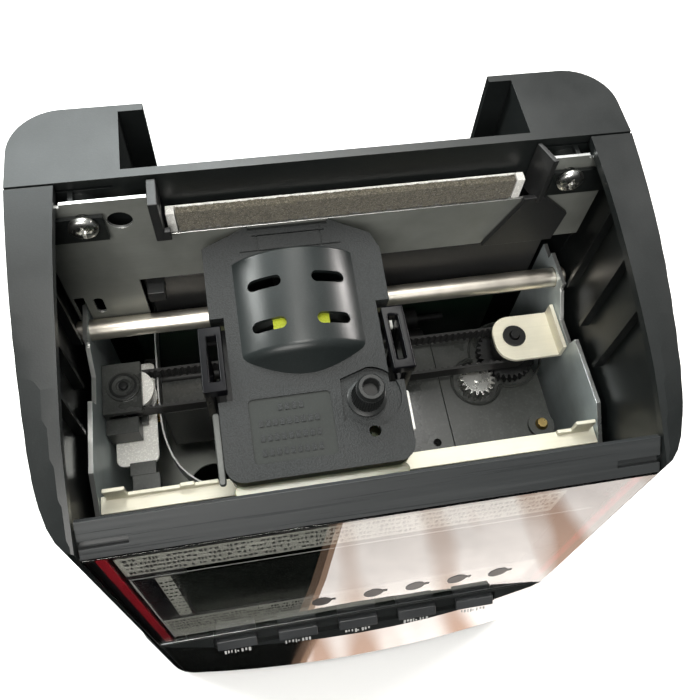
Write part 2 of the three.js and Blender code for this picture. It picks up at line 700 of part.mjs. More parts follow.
// The cassette's plan: a nose at the back, a notch on each side, rounded front corners.
function cassetteOutline(inset) {
  const { left, right, rear, front } = CASSETTE;
  const [x0, x1, corner] = [left + inset, right - inset, 4.5];
  const [n0, n1] = [CLIP_NOTCH.rear + inset, CLIP_NOTCH.front - inset];
  const shape = new THREE.Shape();
  shape.moveTo(-23.2 + inset / 2, -inset);
  shape.lineTo(x0, rear - inset);
  shape.lineTo(x0, n0);
  shape.lineTo(x0 + CLIP_NOTCH.depth, n0);
  shape.lineTo(x0 + CLIP_NOTCH.depth, n1);
  shape.lineTo(x0, n1);
  shape.lineTo(x0, front + inset + corner);
  shape.absarc(x0 + corner, front + inset + corner, corner, Math.PI, Math.PI * 1.5);
  shape.absarc(x1 - corner, front + inset + corner, corner, Math.PI * 1.5, Math.PI * 2);
  shape.lineTo(x1, n1);
  shape.lineTo(x1 - CLIP_NOTCH.depth, n1);
  shape.lineTo(x1 - CLIP_NOTCH.depth, n0);
  shape.lineTo(x1, n0);
  shape.lineTo(x1, -10 - inset);
  shape.lineTo(x1 - 2, rear - inset);
  shape.lineTo(-2.5 - inset / 2, -inset);
  return shape;
}

// The drum-shaped hump over the print head, with its cone-shaped front end.
function hump(shrink, floor) {
  const radius = HUMP.radius - shrink;
  const profile = [
    [0, HUMP.rear - shrink], [radius, HUMP.rear - shrink], [radius, HUMP.front + shrink / 2],
    [-HUMP.axis - shrink, HUMP.toe + shrink], [0, HUMP.toe + shrink],
  ];
  const lathe = turned(profile, 48).rotateX(-Math.PI / 2).translate(HEAD_X, 0, HUMP.axis);
  return solid(lathe).intersect(block([-60, 40], [-60, 10], [floor, 20]));
}

function humpSlots() {
  const slots = [];
  for (const x of [HEAD_X - 8, HEAD_X + 8]) {
    for (const y of [-18.7, -29.8]) {
      slots.push(prism("z", roundedOutline([x - 4.2, x + 4.2], [y - 1.5, y + 1.5], 1.45), 0.5, 12));
    }
  }
  return slots;
}

// A round recess with one square corner around the knob.
function knobRecess() {
  const shape = new THREE.Shape();
  shape.absarc(KNOB_X + 1, KNOB_V, 7.6, -Math.PI * 0.8, Math.PI * 0.5);
  shape.lineTo(KNOB_X - 6, KNOB_V + 5.4);
  shape.lineTo(KNOB_X - 6.6, KNOB_V - 5.4);
  return prism("z", shape, -0.6, 3);
}

// The cassette's nose is cut upright, so that it stays clear of the card plate.
function plateClearance() {
  const lean = Math.tan(TILT);
  return prism("x", [[0.2 + lean, 1], [3, 1], [3, -12], [0.2 - 12 * lean, -12]], -60, 40);
}

function cassetteCover() {
  const outer = joined(prism("z", cassetteOutline(0), -5.5, 0), hump(0, -0.5));
  const noseBevel = prism("x", [[-1.8, 0.4], [0.4, -1.8], [0.4, 0.4]], -23.4, -2.3);
  return cut(
    outer,
    prism("z", cassetteOutline(1.4), -6, -1.5),
    hump(1.4, -3),
    humpSlots(),
    knobRecess(),
    rod("z", 3.8, [KNOB_X, KNOB_V], -5, 5, 24),
    rod("z", 1.5, [KNOB_X + 0.6, KNOB_V - 8.6], -5, 5, 12),
    prism("z", roundedOutline([-28.6, -8.4], [-62.6, -46.7], 1.2), -0.3, 3),
    noseBevel,
    plateClearance(),
  );
}

function cassetteBase() {
  const hollow = prism("z", cassetteOutline(2.1), -9.6, -4);
  const tub = cut(prism("z", cassetteOutline(0.7), -10.8, -5.9), hollow);
  const headHole = block([HEAD_X - 18, HEAD_X + 16], [-38, -6], [-12, -4]);
  const spindle = rod("z", 1.3, [KNOB_X, KNOB_V], -10, -7.4, 12);
  return joined(cut(tub, headHole, plateClearance()), spindle);
}

// The winding knob, its stem and the ribbon roller it turns.
function ribbonKnob() {
  const profile = [
    [0, -3.4], [1.7, -3.4], [1.7, -8.8], [3.7, -8.8], [3.7, -2.2], [3.2, -2.2], [3.2, -0.2], [5.4, -0.2],
    [5.4, 0.5], [3.7, 0.9], [3.7, 6.6], [3.25, 6.9], [3.25, 9.2], [1.9, 9.2], [1.9, 5.5], [0, 5.5],
  ];
  return solid(turned(profile, 24).translate(KNOB_X, KNOB_V, 0));
}

part("cassette_cover", cassetteCover(), coverPlastic, cassette);
part("cassette_base", cassetteBase(), olivePlastic, cassette);
part("ribbon_knob", ribbonKnob(), blackPlastic, cassette);

// ---------------------------------------------------------------- belt drive

const beltShell = (radius, from, to) => {
  const shape = new THREE.Shape();
  shape.absarc(DRIVE_X, BELT_Y, radius, -Math.PI / 2, Math.PI / 2);
  shape.absarc(IDLER_X, BELT_Y, radius, Math.PI / 2, Math.PI * 1.5);
  const options = { depth: to - from, bevelEnabled: false, curveSegments: 16 };
  return solid(new THREE.ExtrudeGeometry(shape, options).translate(0, 0, from));
};

const timingBelt = () => cut(
  beltShell(BELT_RADIUS + BELT_THICKNESS / 2, BELT_BOTTOM, BELT_TOP),
  beltShell(BELT_RADIUS - BELT_THICKNESS / 2, BELT_BOTTOM - 1, BELT_TOP + 1),
);

const RIM = BELT_RADIUS - BELT_THICKNESS / 2 - GAP;

function idlerBlock() {
  const body = cut(
    block([-71.8, -60.2], [-30.6, -14], [-78.6, -67]),
    block([-70.4, -59], [-31.6, -13], [-76.4, -69]),
  );
  const round = rod("z", 4.9, [IDLER_X - 2, BELT_Y], -67.5, -66.2, 24);
  const dimple = rod("z", 2.2, [IDLER_X - 2, BELT_Y], -66.9, -65, 16);
  const pin = rod("z", 1.25, [IDLER_X, BELT_Y], -77, -68.5, 12);
  const step = block([-71.8, -62.2], [-35.4, -30.2], [-79, -71.5]);
  return joined(cut(joined(body, round, step), dimple), pin);
}

function idlerPulley() {
  const profile = [
    [1.6, -76], [6.6, -76], [6.6, -75.4], [RIM, -75.4], [RIM, -70], [6.6, -70], [6.6, -69.4],
    [1.6, -69.4], [1.6, -76],
  ];
  return solid(turned(profile, 28).translate(IDLER_X, BELT_Y, 0));
}

function driveGear() {
  const profile = [
    [0, -84], [1.35, -84], [1.35, -80], [RIM, -80], [RIM, -70], [6.6, -70], [6.6, -69.4], [1.35, -69.4],
    [1.35, -64.4], [0, -64.4],
  ];
  const pulley = solid(turned(profile, 28).translate(DRIVE_X, BELT_Y, 0));
  const teeth = prismGeometry("z", gearOutline(GEAR_TEETH), -80, -76.6);
  return joined(pulley, solid(teeth.translate(DRIVE_X, BELT_Y, 0)));
}

const CENTRE_DISTANCE = (GEAR_MODULE * (GEAR_TEETH + PINION_TEETH)) / 2 + 0.2;
const PINION = [
  DRIVE_X + CENTRE_DISTANCE * Math.cos(PINION_ANGLE),
  BELT_Y + CENTRE_DISTANCE * Math.sin(PINION_ANGLE),
];

// The pinion is turned so that a gap of it faces a tooth of the gear.
function motorPinion() {
  const gearPhase = ((PINION_ANGLE * GEAR_TEETH) / (Math.PI * 2)) % 1;
  const turn = PINION_ANGLE + Math.PI + ((0.5 + gearPhase) * Math.PI * 2) / PINION_TEETH;
  const teeth = prismGeometry("z", gearOutline(PINION_TEETH), -80.4, -76.2).rotateZ(turn);
  const shaft = rodGeometry("z", 1.2, [0, 0], -90, -75.6, 16);
  return joined(solid(teeth.translate(...PINION, 0)), solid(shaft.translate(...PINION, 0)));
}

function gearDeck() {
  const body = joined(
    block([12, 66.6], [-57, -13], [-86, DECK_TOP]),
    block([12, 33], [-57, -13], [DECK_TOP - 1, DECK_TOP + 0.8]),
    rod("z", 4.2, [62.4, -49], DECK_TOP - 1, DECK_TOP + 1.4, 24),
    rod("z", 3, [18, -50], CHASSIS_BOTTOM + GAP, -85, 12),
    rod("z", 3, [62, -50], CHASSIS_BOTTOM + GAP, -85, 12),
    rod("z", 3, [20, -20], CHASSIS_BOTTOM + GAP, -85, 12),
  );
  return cut(
    body,
    rod("z", 11.4, [DRIVE_X, BELT_Y], -80.8, -70, 36),
    rod("z", 7.6, PINION, -80.8, -70, 28),
    rod("z", 1.7, [DRIVE_X, BELT_Y], -90, -70, 12),
    rod("z", 2.2, PINION, -90, -70, 12),
    rod("z", 1.6, [62.4, -49], -84, -70, 12),
    rod("z", 1.3, [28, -50], -84, -70, 12),
  );
}

function motorBracket() {
  const half = CHASSIS_INNER - GAP;
  const tongue = new THREE.Shape();
  tongue.absarc(57.4, -20.8, 6.2, Math.PI / 2, Math.PI);
  tongue.absarc(57.4, -24.2, 6.2, Math.PI, Math.PI * 1.5);
  tongue.lineTo(half, -30.4);
  tongue.lineTo(half, -14.6);
  const plate = prism("z", tongue, -67.6, -66.3);
  const flange = block([half - 1.2, half], [-30.4, -14.6], [-67, -61.4]);
  return cut(joined(plate, flange), rod("z", 3.1, [DRIVE_X, BELT_Y], -70, -60, 24));
}

function bracketBush() {
  const barrel = rod("z", 2.8, [DRIVE_X, BELT_Y], -68.4, -65.4, 24);
  const flange = rod("z", 3.7, [DRIVE_X, BELT_Y], -66, -65.2, 24);
  return cut(joined(barrel, flange), rod("z", 1.7, [DRIVE_X, BELT_Y], -70, -60, 16));
}

const deckScrew = () => joined(
  rod("z", 2.1, [62.4, -49], -76.7, -75.4, 16, 1.5),
  rod("z", 1.2, [62.4, -49], -83, -76, 12),
);

const carriageMotor = () => cut(
  joined(rod("z", 13, PINION, -112, -86.4, 32), rod("z", 4, PINION, -113.4, -111, 20)),
  rod("z", 1.7, PINION, -91, -80, 12),
);

part("timing_belt", timingBelt(), rubber);
part("idler_block", idlerBlock(), blackPlastic);
part("idler_pulley", idlerPulley(), whitePlastic);
part("drive_gear", driveGear(), blackPlastic);
part("motor_bracket", motorBracket(), zinc);
part("bracket_bush", bracketBush(), blackPlastic);
part("gear_deck", gearDeck(), greyPlastic);
part("deck_screw", deckScrew(), brass);
part("motor_pinion", motorPinion(), brightSteel);
part("carriage_motor", carriageMotor(), greySteel);

// ---------------------------------------------------------------- card feed

const FEED_GEAR_X = -62;
const FEED_DISTANCE = (GEAR_MODULE * (FEED_TEETH + FEED_PINION_TEETH)) / 2 + 0.2;

function feedRoller() {
  const teeth = prismGeometry("x", gearOutline(FEED_TEETH), FEED_GEAR_X, FEED_GEAR_X + 4);
  return joined(
    rod("x", 2.2, [FEED_Y, FEED_Z], -75, 75, 20),
    rod("x", FEED_RADIUS, [FEED_Y, FEED_Z], -34, -14, 28),
    rod("x", FEED_RADIUS, [FEED_Y, FEED_Z], 14, 34, 28),
    solid(teeth.translate(0, FEED_Y, FEED_Z)),
  );
}

const PINCH_Y = FEED_Y + FEED_RADIUS + 0.8 + PINCH_RADIUS;
const pinchRoller = () => joined(
  rod("x", 1.2, [PINCH_Y, FEED_Z], -44, 44, 12),
  rod("x", PINCH_RADIUS, [PINCH_Y, FEED_Z], -34, -14, 24),
  rod("x", PINCH_RADIUS, [PINCH_Y, FEED_Z], 14, 34, 24),
);

function feedPinion() {
  const teeth = prismGeometry("x", gearOutline(FEED_PINION_TEETH), FEED_GEAR_X, FEED_GEAR_X + 4);
  const turn = Math.PI / FEED_PINION_TEETH;
  const shaft = rodGeometry("x", 1.1, [0, 0], FEED_GEAR_X, -51, 12);
  const place = [0, FEED_Y - FEED_DISTANCE, FEED_Z];
  return joined(solid(teeth.rotateX(turn).translate(...place)), solid(shaft.translate(...place)));
}

function feedMotor() {
  const y = FEED_Y - FEED_DISTANCE;
  return cut(
    block([-55.4, -41], [y - 8.4, y + 2.4], [-104, -76.6]),
    rod("x", 1.6, [y, FEED_Z], -60, -50.6, 12),
  );
}

part("feed_roller", feedRoller(), rubber);
part("pinch_roller", pinchRoller(), rubber);
part("feed_pinion", feedPinion(), brass);
part("feed_motor", feedMotor(), greyPlastic);

// ---------------------------------------------------------------- electrics

// The flat cable stands on edge below the belt: from the board, round a bend, along the front rail.
function headCable() {
  const middle = new THREE.CatmullRomCurve3([
    [-56.6, 6], [-56.6, -12], [-56.4, -27], [-55, -38], [-51, -47], [-44, -53], [-34, -54.8], [-16, -54.8],
  ].map(([x, y]) => new THREE.Vector3(x, y, 0)));
  const steps = 18;
  const points = middle.getPoints(steps);
  const offset = (side) => points.map((point, i) => {
    const tangent = middle.getTangent(i / steps);
    return [point.x - tangent.y * side, point.y + tangent.x * side];
  });
  return prism("z", [...offset(0.25), ...offset(-0.25).reverse()], -84, -76.4);
}

function mainBoard() {
  return joined(
    block([-64, 64], [7, 8.6], [-196, -78]),
    block([-20, 12], [8, 11], [-130, -104]),
    block([24, 44], [8, 13], [-126, -112]),
    block([-56, -40], [8, 14], [-112, -100]),
  );
}

const transformer = () => joined(
  block([16, 56], [-46, -14], [-199, -172]),
  block([22, 50], [-50, -10], [-196, -175]),
);

const batteryPack = () => joined(
  rod("x", 7, [-56, -194], -58, -8, 20),
  rod("x", 7, [-43, -194], -58, -8, 20),
  block([-50, -16], [-56, -43], [-199, -190]),
);

const powerInlet = () => cut(
  block([-57.6, -34.4], [14, 23.6], [-187.6, -170.4]),
  block([-55, -37], [17, 30], [-185, -173]),
);

const sidePlate = () => joined(
  prism("z", roundedOutline([-70.6, -57.8], [-43, -28], 2.6), -80.6, -79.4),
  prism("z", roundedOutline([-66, -57.8], [-33, -8.5], 1.6), -80.6, -79.4),
);

part("head_cable", headCable(), whitePlastic);
part("main_board", mainBoard(), boardGreen);
part("transformer", transformer(), greySteel);
part("battery_pack", batteryPack(), whitePlastic);
part("power_inlet", powerInlet(), blackPlastic);
part("side_plate", sidePlate(), whitePlastic);

export default object;
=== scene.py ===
"""Looks for the desktop time recorder: fine surfaces, printed strips, belt teeth, wiring and materials.

Places are in millimetres from one datum, the middle of the seam between the two case halves at the
top: x to the right, y to the back, z up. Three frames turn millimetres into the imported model's metres:
TOP for most pieces, CASSETTE for the tilted ribbon cassette and SHELF for the sloping key shelf.
"""

import json
import math
import random

import bmesh
import bpy
from mathutils import Matrix, Vector, noise


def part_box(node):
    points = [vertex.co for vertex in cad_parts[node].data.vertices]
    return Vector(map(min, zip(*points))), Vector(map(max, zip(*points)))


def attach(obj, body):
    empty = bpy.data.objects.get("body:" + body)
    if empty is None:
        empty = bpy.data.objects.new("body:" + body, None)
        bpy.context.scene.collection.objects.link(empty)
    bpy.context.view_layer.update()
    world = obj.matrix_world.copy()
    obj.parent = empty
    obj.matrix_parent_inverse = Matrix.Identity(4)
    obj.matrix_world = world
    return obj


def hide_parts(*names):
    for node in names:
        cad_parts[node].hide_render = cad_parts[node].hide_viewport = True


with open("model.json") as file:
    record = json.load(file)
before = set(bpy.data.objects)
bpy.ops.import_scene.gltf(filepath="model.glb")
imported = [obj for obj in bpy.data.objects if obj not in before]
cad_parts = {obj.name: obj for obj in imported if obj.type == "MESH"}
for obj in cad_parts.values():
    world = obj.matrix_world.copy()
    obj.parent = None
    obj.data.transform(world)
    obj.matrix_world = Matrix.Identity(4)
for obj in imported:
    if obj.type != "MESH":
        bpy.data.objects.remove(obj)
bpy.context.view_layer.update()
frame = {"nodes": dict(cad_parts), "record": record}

MM = 0.001
REAR_DEPTH = 24                      # seam to the back of the case
REAR_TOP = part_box("rear_case")[1]
DATUM = Vector((0, REAR_TOP.y - REAR_DEPTH * MM, REAR_TOP.z))

CASSETTE_TILT = math.atan(0.1654)
SHELF_TILT = math.atan2(8.5, 7.05)
TOP = Matrix.Translation(DATUM) @ Matrix.Diagonal((MM, MM, MM, 1))
CASSETTE = TOP @ Matrix.Translation((0, -5, -17)) @ Matrix.Rotation(CASSETTE_TILT, 4, "X")
SHELF = TOP @ Matrix.Translation((0, -87.55, -141)) @ Matrix.Rotation(SHELF_TILT, 4, "X")

HEAD_X = -13                         # middle of the print head and of the cassette's hump
KNOB = (0.5, -49.7)                  # the knob's place on the cassette
BELT_Y = -22.2                       # the belt wheels' axes
BELT_RADIUS = 6.1
BELT_MIDDLE = -72.65                 # height of the belt's middle
DRIVE_X = 57.8
IDLER_X = -63.4
PINION = (45.6, -30.76)              # the motor's axis on the gear deck
SHAFT = (-7.7, -56)                  # the carriage shaft's y and z

BODY_OF = {}
for body_name, members in frame["record"]["behaviour"]["bodies"].items():
    for member in members:
        BODY_OF[member] = body_name
SLOT_OF = {row["node"]: row["material_slot"] for row in frame["record"]["subparts"]}


# ---------------------------------------------------------------- materials

class Surface:
    """A Principled material whose colour, roughness and relief come from procedural nodes."""

    def __init__(self, name, roughness, metallic=0.0, **sockets):
        self.material = bpy.data.materials.new(name)
        self.material.use_nodes = True
        self.tree = self.material.node_tree
        self.shader = self.tree.nodes["Principled BSDF"]
        self.shader.inputs["Roughness"].default_value = roughness
        self.shader.inputs["Metallic"].default_value = metallic
        for socket, value in sockets.items():
            self.shader.inputs[socket.replace("_", " ")].default_value = value
        self.place = self.node("ShaderNodeTexCoord").outputs["Object"]

    def node(self, kind, **inputs):
        made = self.tree.nodes.new(kind)
        for name, value in inputs.items():
            socket = made.inputs[name.replace("_", " ")]
            if isinstance(value, bpy.types.NodeSocket):
                self.tree.links.new(value, socket)
            else:
                socket.default_value = value
        return made

    def stretched(self, scale):
        """The object's coordinates, each axis scaled by its own number."""
        return self.node("ShaderNodeMapping", Vector=self.place, Scale=scale).outputs[0]

    def noise(self, scale, detail=2.0, rough=0.5, place=None):
        made = self.node("ShaderNodeTexNoise", Vector=place or self.place, Scale=scale, Detail=detail,
                         Roughness=rough)
        return made.outputs["Fac"]

    def cells(self, scale):
        made = self.node("ShaderNodeTexVoronoi", Vector=self.place, Scale=scale)
        return made.outputs["Distance"]

    def ramp(self, value, low, high, start=0.3, end=0.7):
        """Maps a texture value to a range of numbers."""
        made = self.node("ShaderNodeMapRange", Value=value, From_Min=start, From_Max=end,
                         To_Min=low, To_Max=high)
        return made.outputs[0]

    def blend(self, value, first, second):
        made = self.tree.nodes.new("ShaderNodeMix")
        made.data_type = "RGBA"
        self.tree.links.new(value, made.inputs["Factor"])
        for socket, color in ((made.inputs[6], first), (made.inputs[7], second)):
            if isinstance(color, bpy.types.NodeSocket):
                self.tree.links.new(color, socket)
            else:
                socket.default_value = (*color, 1)
        return made.outputs[2]

    def color(self, socket):
        self.tree.links.new(socket, self.shader.inputs["Base Color"])

    def roughness(self, socket):
        self.tree.links.new(socket, self.shader.inputs["Roughness"])

    def relief(self, *layers):
        """Bump from (height, distance in millimetres) layers, coarse first."""
        normal = None
        for height, distance in layers:
            bump = self.node("ShaderNodeBump", Height=height, Distance=distance * MM)
            if normal is not None:
                self.tree.links.new(normal, bump.inputs["Normal"])
            normal = bump.outputs["Normal"]
        self.tree.links.new(normal, self.shader.inputs["Normal"])
        return self


def shade(color, factor):
    return tuple(channel * factor for channel in color)


def moulded(name, color, roughness, grain=0.02, grain_scale=2400, spread=0.15, patch=0.06, **sockets):
    """Moulded plastic: fine spark-eroded grain, slight clouding and uneven gloss."""
    made = Surface(name, roughness, **sockets)
    cloud = made.noise(35, 4, 0.6)
    speck = made.noise(grain_scale * 0.8, 1)
    mixed = made.blend(made.ramp(cloud, 0, 1), shade(color, 1 - spread), shade(color, 1 + spread))
    made.color(made.blend(made.ramp(speck, 0, 0.5, 0.5, 0.75), mixed, shade(color, 1.7)))
    made.roughness(made.ramp(cloud, roughness - patch, roughness + patch))
    return made.relief((made.noise(grain_scale, 2), grain)).material


def pebbled(name, color, roughness):
    """A fine pebble grain, as on the cassette's top, with a painted highlight on each pebble's raised middle
    and painted shade in the hollows between pebbles.
    """
    made = Surface(name, roughness, Specular_IOR_Level=0.28)
    pebble = made.cells(2500)
    cloud = made.noise(60, 3)
    # Painted light and shade: lit copies of the colour for the pebbles' raised middles, shaded copies for
    # the hollows between them.
    dark = made.blend(made.ramp(cloud, 0, 1), shade(color, 0.55), shade(color, 0.7))
    light = made.blend(made.ramp(cloud, 0, 1), shade(color, 1.15), shade(color, 1.5))
    # Painted highlight on the middle of each pebble and painted shade towards its edge, where the relief
    # below sinks into the hollows.
    made.color(made.blend(made.ramp(pebble, 0, 1, 0.1, 0.7), light, dark))
    made.roughness(made.ramp(cloud, roughness - 0.06, roughness + 0.06))
    return made.relief((pebble, -0.07), (made.noise(5200, 1), 0.012)).material


def drawn(name, color, roughness):
    """Hard plastic with long fine drawing lines, as on an extruded strip."""
    made = Surface(name, roughness)
    line = made.noise(1, 4, 0.65, made.stretched((12, 900, 900)))
    cloud = made.noise(1, 2, 0.5, made.stretched((14, 60, 60)))
    base = made.blend(made.ramp(cloud, 0, 1), shade(color, 0.8), shade(color, 1.15))
    made.color(made.blend(made.ramp(line, 0, 0.6), base, shade(color, 1.45)))
    made.roughness(made.ramp(line, roughness - 0.08, roughness + 0.12))
    return made.relief((line, 0.008)).material


def brushed(name, color, roughness, along, depth=0.002, tarnish=0.22, metallic=0.9):
    """Rolled or brushed sheet: faint streaks along one axis and cloudy plating."""
    made = Surface(name, roughness, metallic=metallic)
    scale = [1600, 1600, 1600]
    scale["xyz".index(along)] = 30
    streak = made.noise(1, 3, 0.5, made.stretched(scale))
    cloud = made.noise(70, 4, 0.6)
    base = made.blend(made.ramp(cloud, 0, 1), shade(color, 1 - tarnish), shade(color, 1 + tarnish / 3))
    made.color(made.blend(made.ramp(streak, 0, 0.25), base, shade(color, 0.8)))
    made.roughness(made.ramp(cloud, roughness - 0.05, roughness + 0.1))
    return made.relief((streak, depth)).material


def machined(name, color, roughness, scale=500, depth=0.002):
    """Turned or sintered metal: even, with small stains and a very fine tooth."""
    made = Surface(name, roughness, metallic=1.0)
    stain = made.noise(scale, 3, 0.6)
    made.color(made.blend(made.ramp(stain, 0, 1, 0.35, 0.75), color, shade(color, 0.7)))
    made.roughness(made.ramp(stain, roughness - 0.04, roughness + 0.08))
    return made.relief((made.noise(4200, 1), depth)).material


def polished(name, color, roughness):
    """Ground bar: faint rings round it and light handling marks."""
    made = Surface(name, roughness, metallic=1.0)
    rings = made.noise(1, 2, 0.5, made.stretched((300, 25, 25)))
    cloud = made.noise(90, 3)
    made.color(made.blend(made.ramp(cloud, 0, 1), shade(color, 0.86), color))
    made.roughness(made.ramp(rings, roughness - 0.03, roughness + 0.05))
    return made.relief((rings, 0.0004)).material


def felted(name, colors):
    """Grey-brown felt of mixed fibres."""
    dark, middle, light = colors
    made = Surface(name, 0.95, Sheen_Weight=0.3, Sheen_Roughness=0.5)
    fibre = made.noise(3000, 3, 0.75)
    tuft = made.noise(1300, 2, 0.6)
    base = made.blend(made.ramp(tuft, 0, 1), dark, middle)
    made.color(made.blend(made.ramp(fibre, 0, 1, 0.52, 0.7), base, light))
    return made.relief((tuft, 0.2), (fibre, 0.15)).material


def printed(name, color, roughness=0.45):
    """Screen-printed film: slightly uneven ink with a fine tooth."""
    made = Surface(name, roughness)
    cloud = made.noise(60, 4)
    tooth = made.noise(2200, 2)
    made.color(made.blend(made.ramp(cloud, 0, 1), shade(color, 0.86), shade(color, 1.04)))
    made.roughness(made.ramp(tooth, roughness - 0.05, roughness + 0.1))
    return made.relief((tooth, 0.01)).material


def clear(name, tint):
    made = Surface(name, 0.0, Transmission_Weight=1.0, IOR=1.5)
    film = made.noise(25, 3)
    made.color(made.blend(made.ramp(film, 0, 1), shade(tint, 0.97), tint))
    made.roughness(made.ramp(film, 0.0, 0.02))
    return made.material


def display_glass(name, color):
    """Dark polariser over a faint segment grid."""
    made = Surface(name, 0.18, Coat_Weight=0.4, Coat_Roughness=0.05)
    cloud = made.noise(30, 3)
    grid = made.noise(1, 1, 0.5, made.stretched((900, 20, 900)))
    base = made.blend(made.ramp(cloud, 0, 1), shade(color, 0.7), shade(color, 1.2))
    made.color(made.blend(made.ramp(grid, 0, 0.25, 0.5, 0.7), base, shade(color, 2.4)))
    made.roughness(made.ramp(cloud, 0.12, 0.24))
    return made.relief((grid, 0.004)).material


def board(name, color):
    """Solder-masked board with faint tracks under the mask."""
    made = Surface(name, 0.35)
    tracks = made.node("ShaderNodeTexBrick", Vector=made.stretched((160, 160, 160)), Scale=4.0,
                       Mortar_Size=0.06).outputs["Fac"]
    cloud = made.noise(45, 3)
    base = made.blend(made.ramp(cloud, 0, 1), shade(color, 0.75), shade(color, 1.2))
    made.color(made.blend(tracks, base, shade(color, 1.7)))
    return made.relief((tracks, 0.02)).material


def smoky(name, color, roughness):
    """Half-clear moulding with a milky body."""
    made = Surface(name, roughness, Coat_Weight=0.4, Coat_Roughness=0.15, Subsurface_Weight=0.2,
                   Subsurface_Scale=0.002)
    cloud = made.noise(1, 3, 0.5, made.stretched((60, 200, 200)))
    made.color(made.blend(made.ramp(cloud, 0, 1), shade(color, 0.45), shade(color, 1.35)))
    return made.relief((made.noise(1500, 2), 0.012)).material


MATERIALS = {
    "case_black": moulded("case_black", (0.0075, 0.009, 0.009), 0.36, 0.016, 2600),
    "bezel_grey": drawn("bezel_grey", (0.026, 0.028, 0.029), 0.30),
    "window_clear": clear("window_clear", (0.95, 0.96, 0.96)),
    "mask_black": moulded("mask_black", (0.006, 0.006, 0.007), 0.3, 0.003, 1500),
    "stripe_red": moulded("stripe_red", (0.26, 0.008, 0.016), 0.35, 0.004, 1500),
    "lcd_grey": display_glass("lcd_grey", (0.010, 0.012, 0.010)),
    "board_green": board("board_green", (0.004, 0.014, 0.007)),
    "key_grey": moulded("key_grey", (0.030, 0.032, 0.034), 0.42, 0.014, 2600),
    "steel_grey": brushed("steel_grey", (0.25, 0.26, 0.24), 0.42, "x", metallic=0.35),
    "zinc_warm": brushed("zinc_warm", (0.94, 0.90, 0.74), 0.38, "x", 0.001, 0.1, 0.12),
    "shaft_steel": polished("shaft_steel", (0.95, 0.89, 0.79), 0.36),
    "screw_steel": machined("screw_steel", (0.78, 0.78, 0.75), 0.26, 300, 0.0006),
    "brass": machined("brass", (0.78, 0.56, 0.22), 0.26, 400, 0.001),
    "felt_brown": felted("felt_brown", ((0.05, 0.044, 0.03), (0.14, 0.125, 0.09), (0.36, 0.33, 0.26))),
    "white_plastic": moulded("white_plastic", (0.84, 0.83, 0.79), 0.4, 0.008, 2600, 0.05),
    "cassette_grey": pebbled("cassette_grey", (0.015, 0.017, 0.0175), 0.5),
    "cassette_olive": smoky("cassette_olive", (0.30, 0.31, 0.17), 0.3),
    "knob_black": moulded("knob_black", (0.011, 0.012, 0.012), 0.34, 0.008, 2600, Specular_IOR_Level=0.3),
    "clip_black": moulded("clip_black", (0.003, 0.003, 0.004), 0.22, 0.003, 2000, Specular_IOR_Level=0.08),
    "nylon_black": moulded("nylon_black", (0.014, 0.0145, 0.015), 0.42, 0.012, 2200),
    "nylon_grey": moulded("nylon_grey", (0.050, 0.053, 0.050), 0.36, 0.014, 1600, 0.5, 0.14),
    "rubber_black": moulded("rubber_black", (0.016, 0.016, 0.016), 0.55, 0.02, 2400),
    "cable_silver": printed("cable_silver", (0.62, 0.63, 0.62), 0.3),
    "label_light": printed("label_light", (0.34, 0.34, 0.30)),
    "print_white": printed("print_white", (0.42, 0.42, 0.41)),
    "print_green": printed("print_green", (0.55, 0.62, 0.05), 0.25),
}
SATIN_COVER = moulded("cassette_satin", (0.012, 0.015, 0.015), 0.33, 0.008, 3600, 0.1,
                      Specular_IOR_Level=0.4)
LABEL_RECESS = moulded("label_recess", (0.016, 0.0185, 0.017), 0.5, 0.012, 3000, 0.2,
                       Specular_IOR_Level=0.22)
GLOSSY_PANEL = moulded("panel_gloss", (0.007, 0.0075, 0.007), 0.12, 0.002, 1500, 0.1, 0.03)
CUT_EDGE = brushed("cut_edge", (0.88, 0.89, 0.87), 0.3, "z", 0.001, 0.1)
BLUE_STEEL = brushed("blue_steel", (0.60, 0.67, 0.68), 0.42, "y", 0.002, 0.25, 0.3)


# ---------------------------------------------------------------- mesh building

AXES = {
    "x": Matrix(((0, 0, 1), (1, 0, 0), (0, 1, 0))),
    "y": Matrix(((1, 0, 0), (0, 0, 1), (0, 1, 0))),
    "z": Matrix.Identity(3),
}


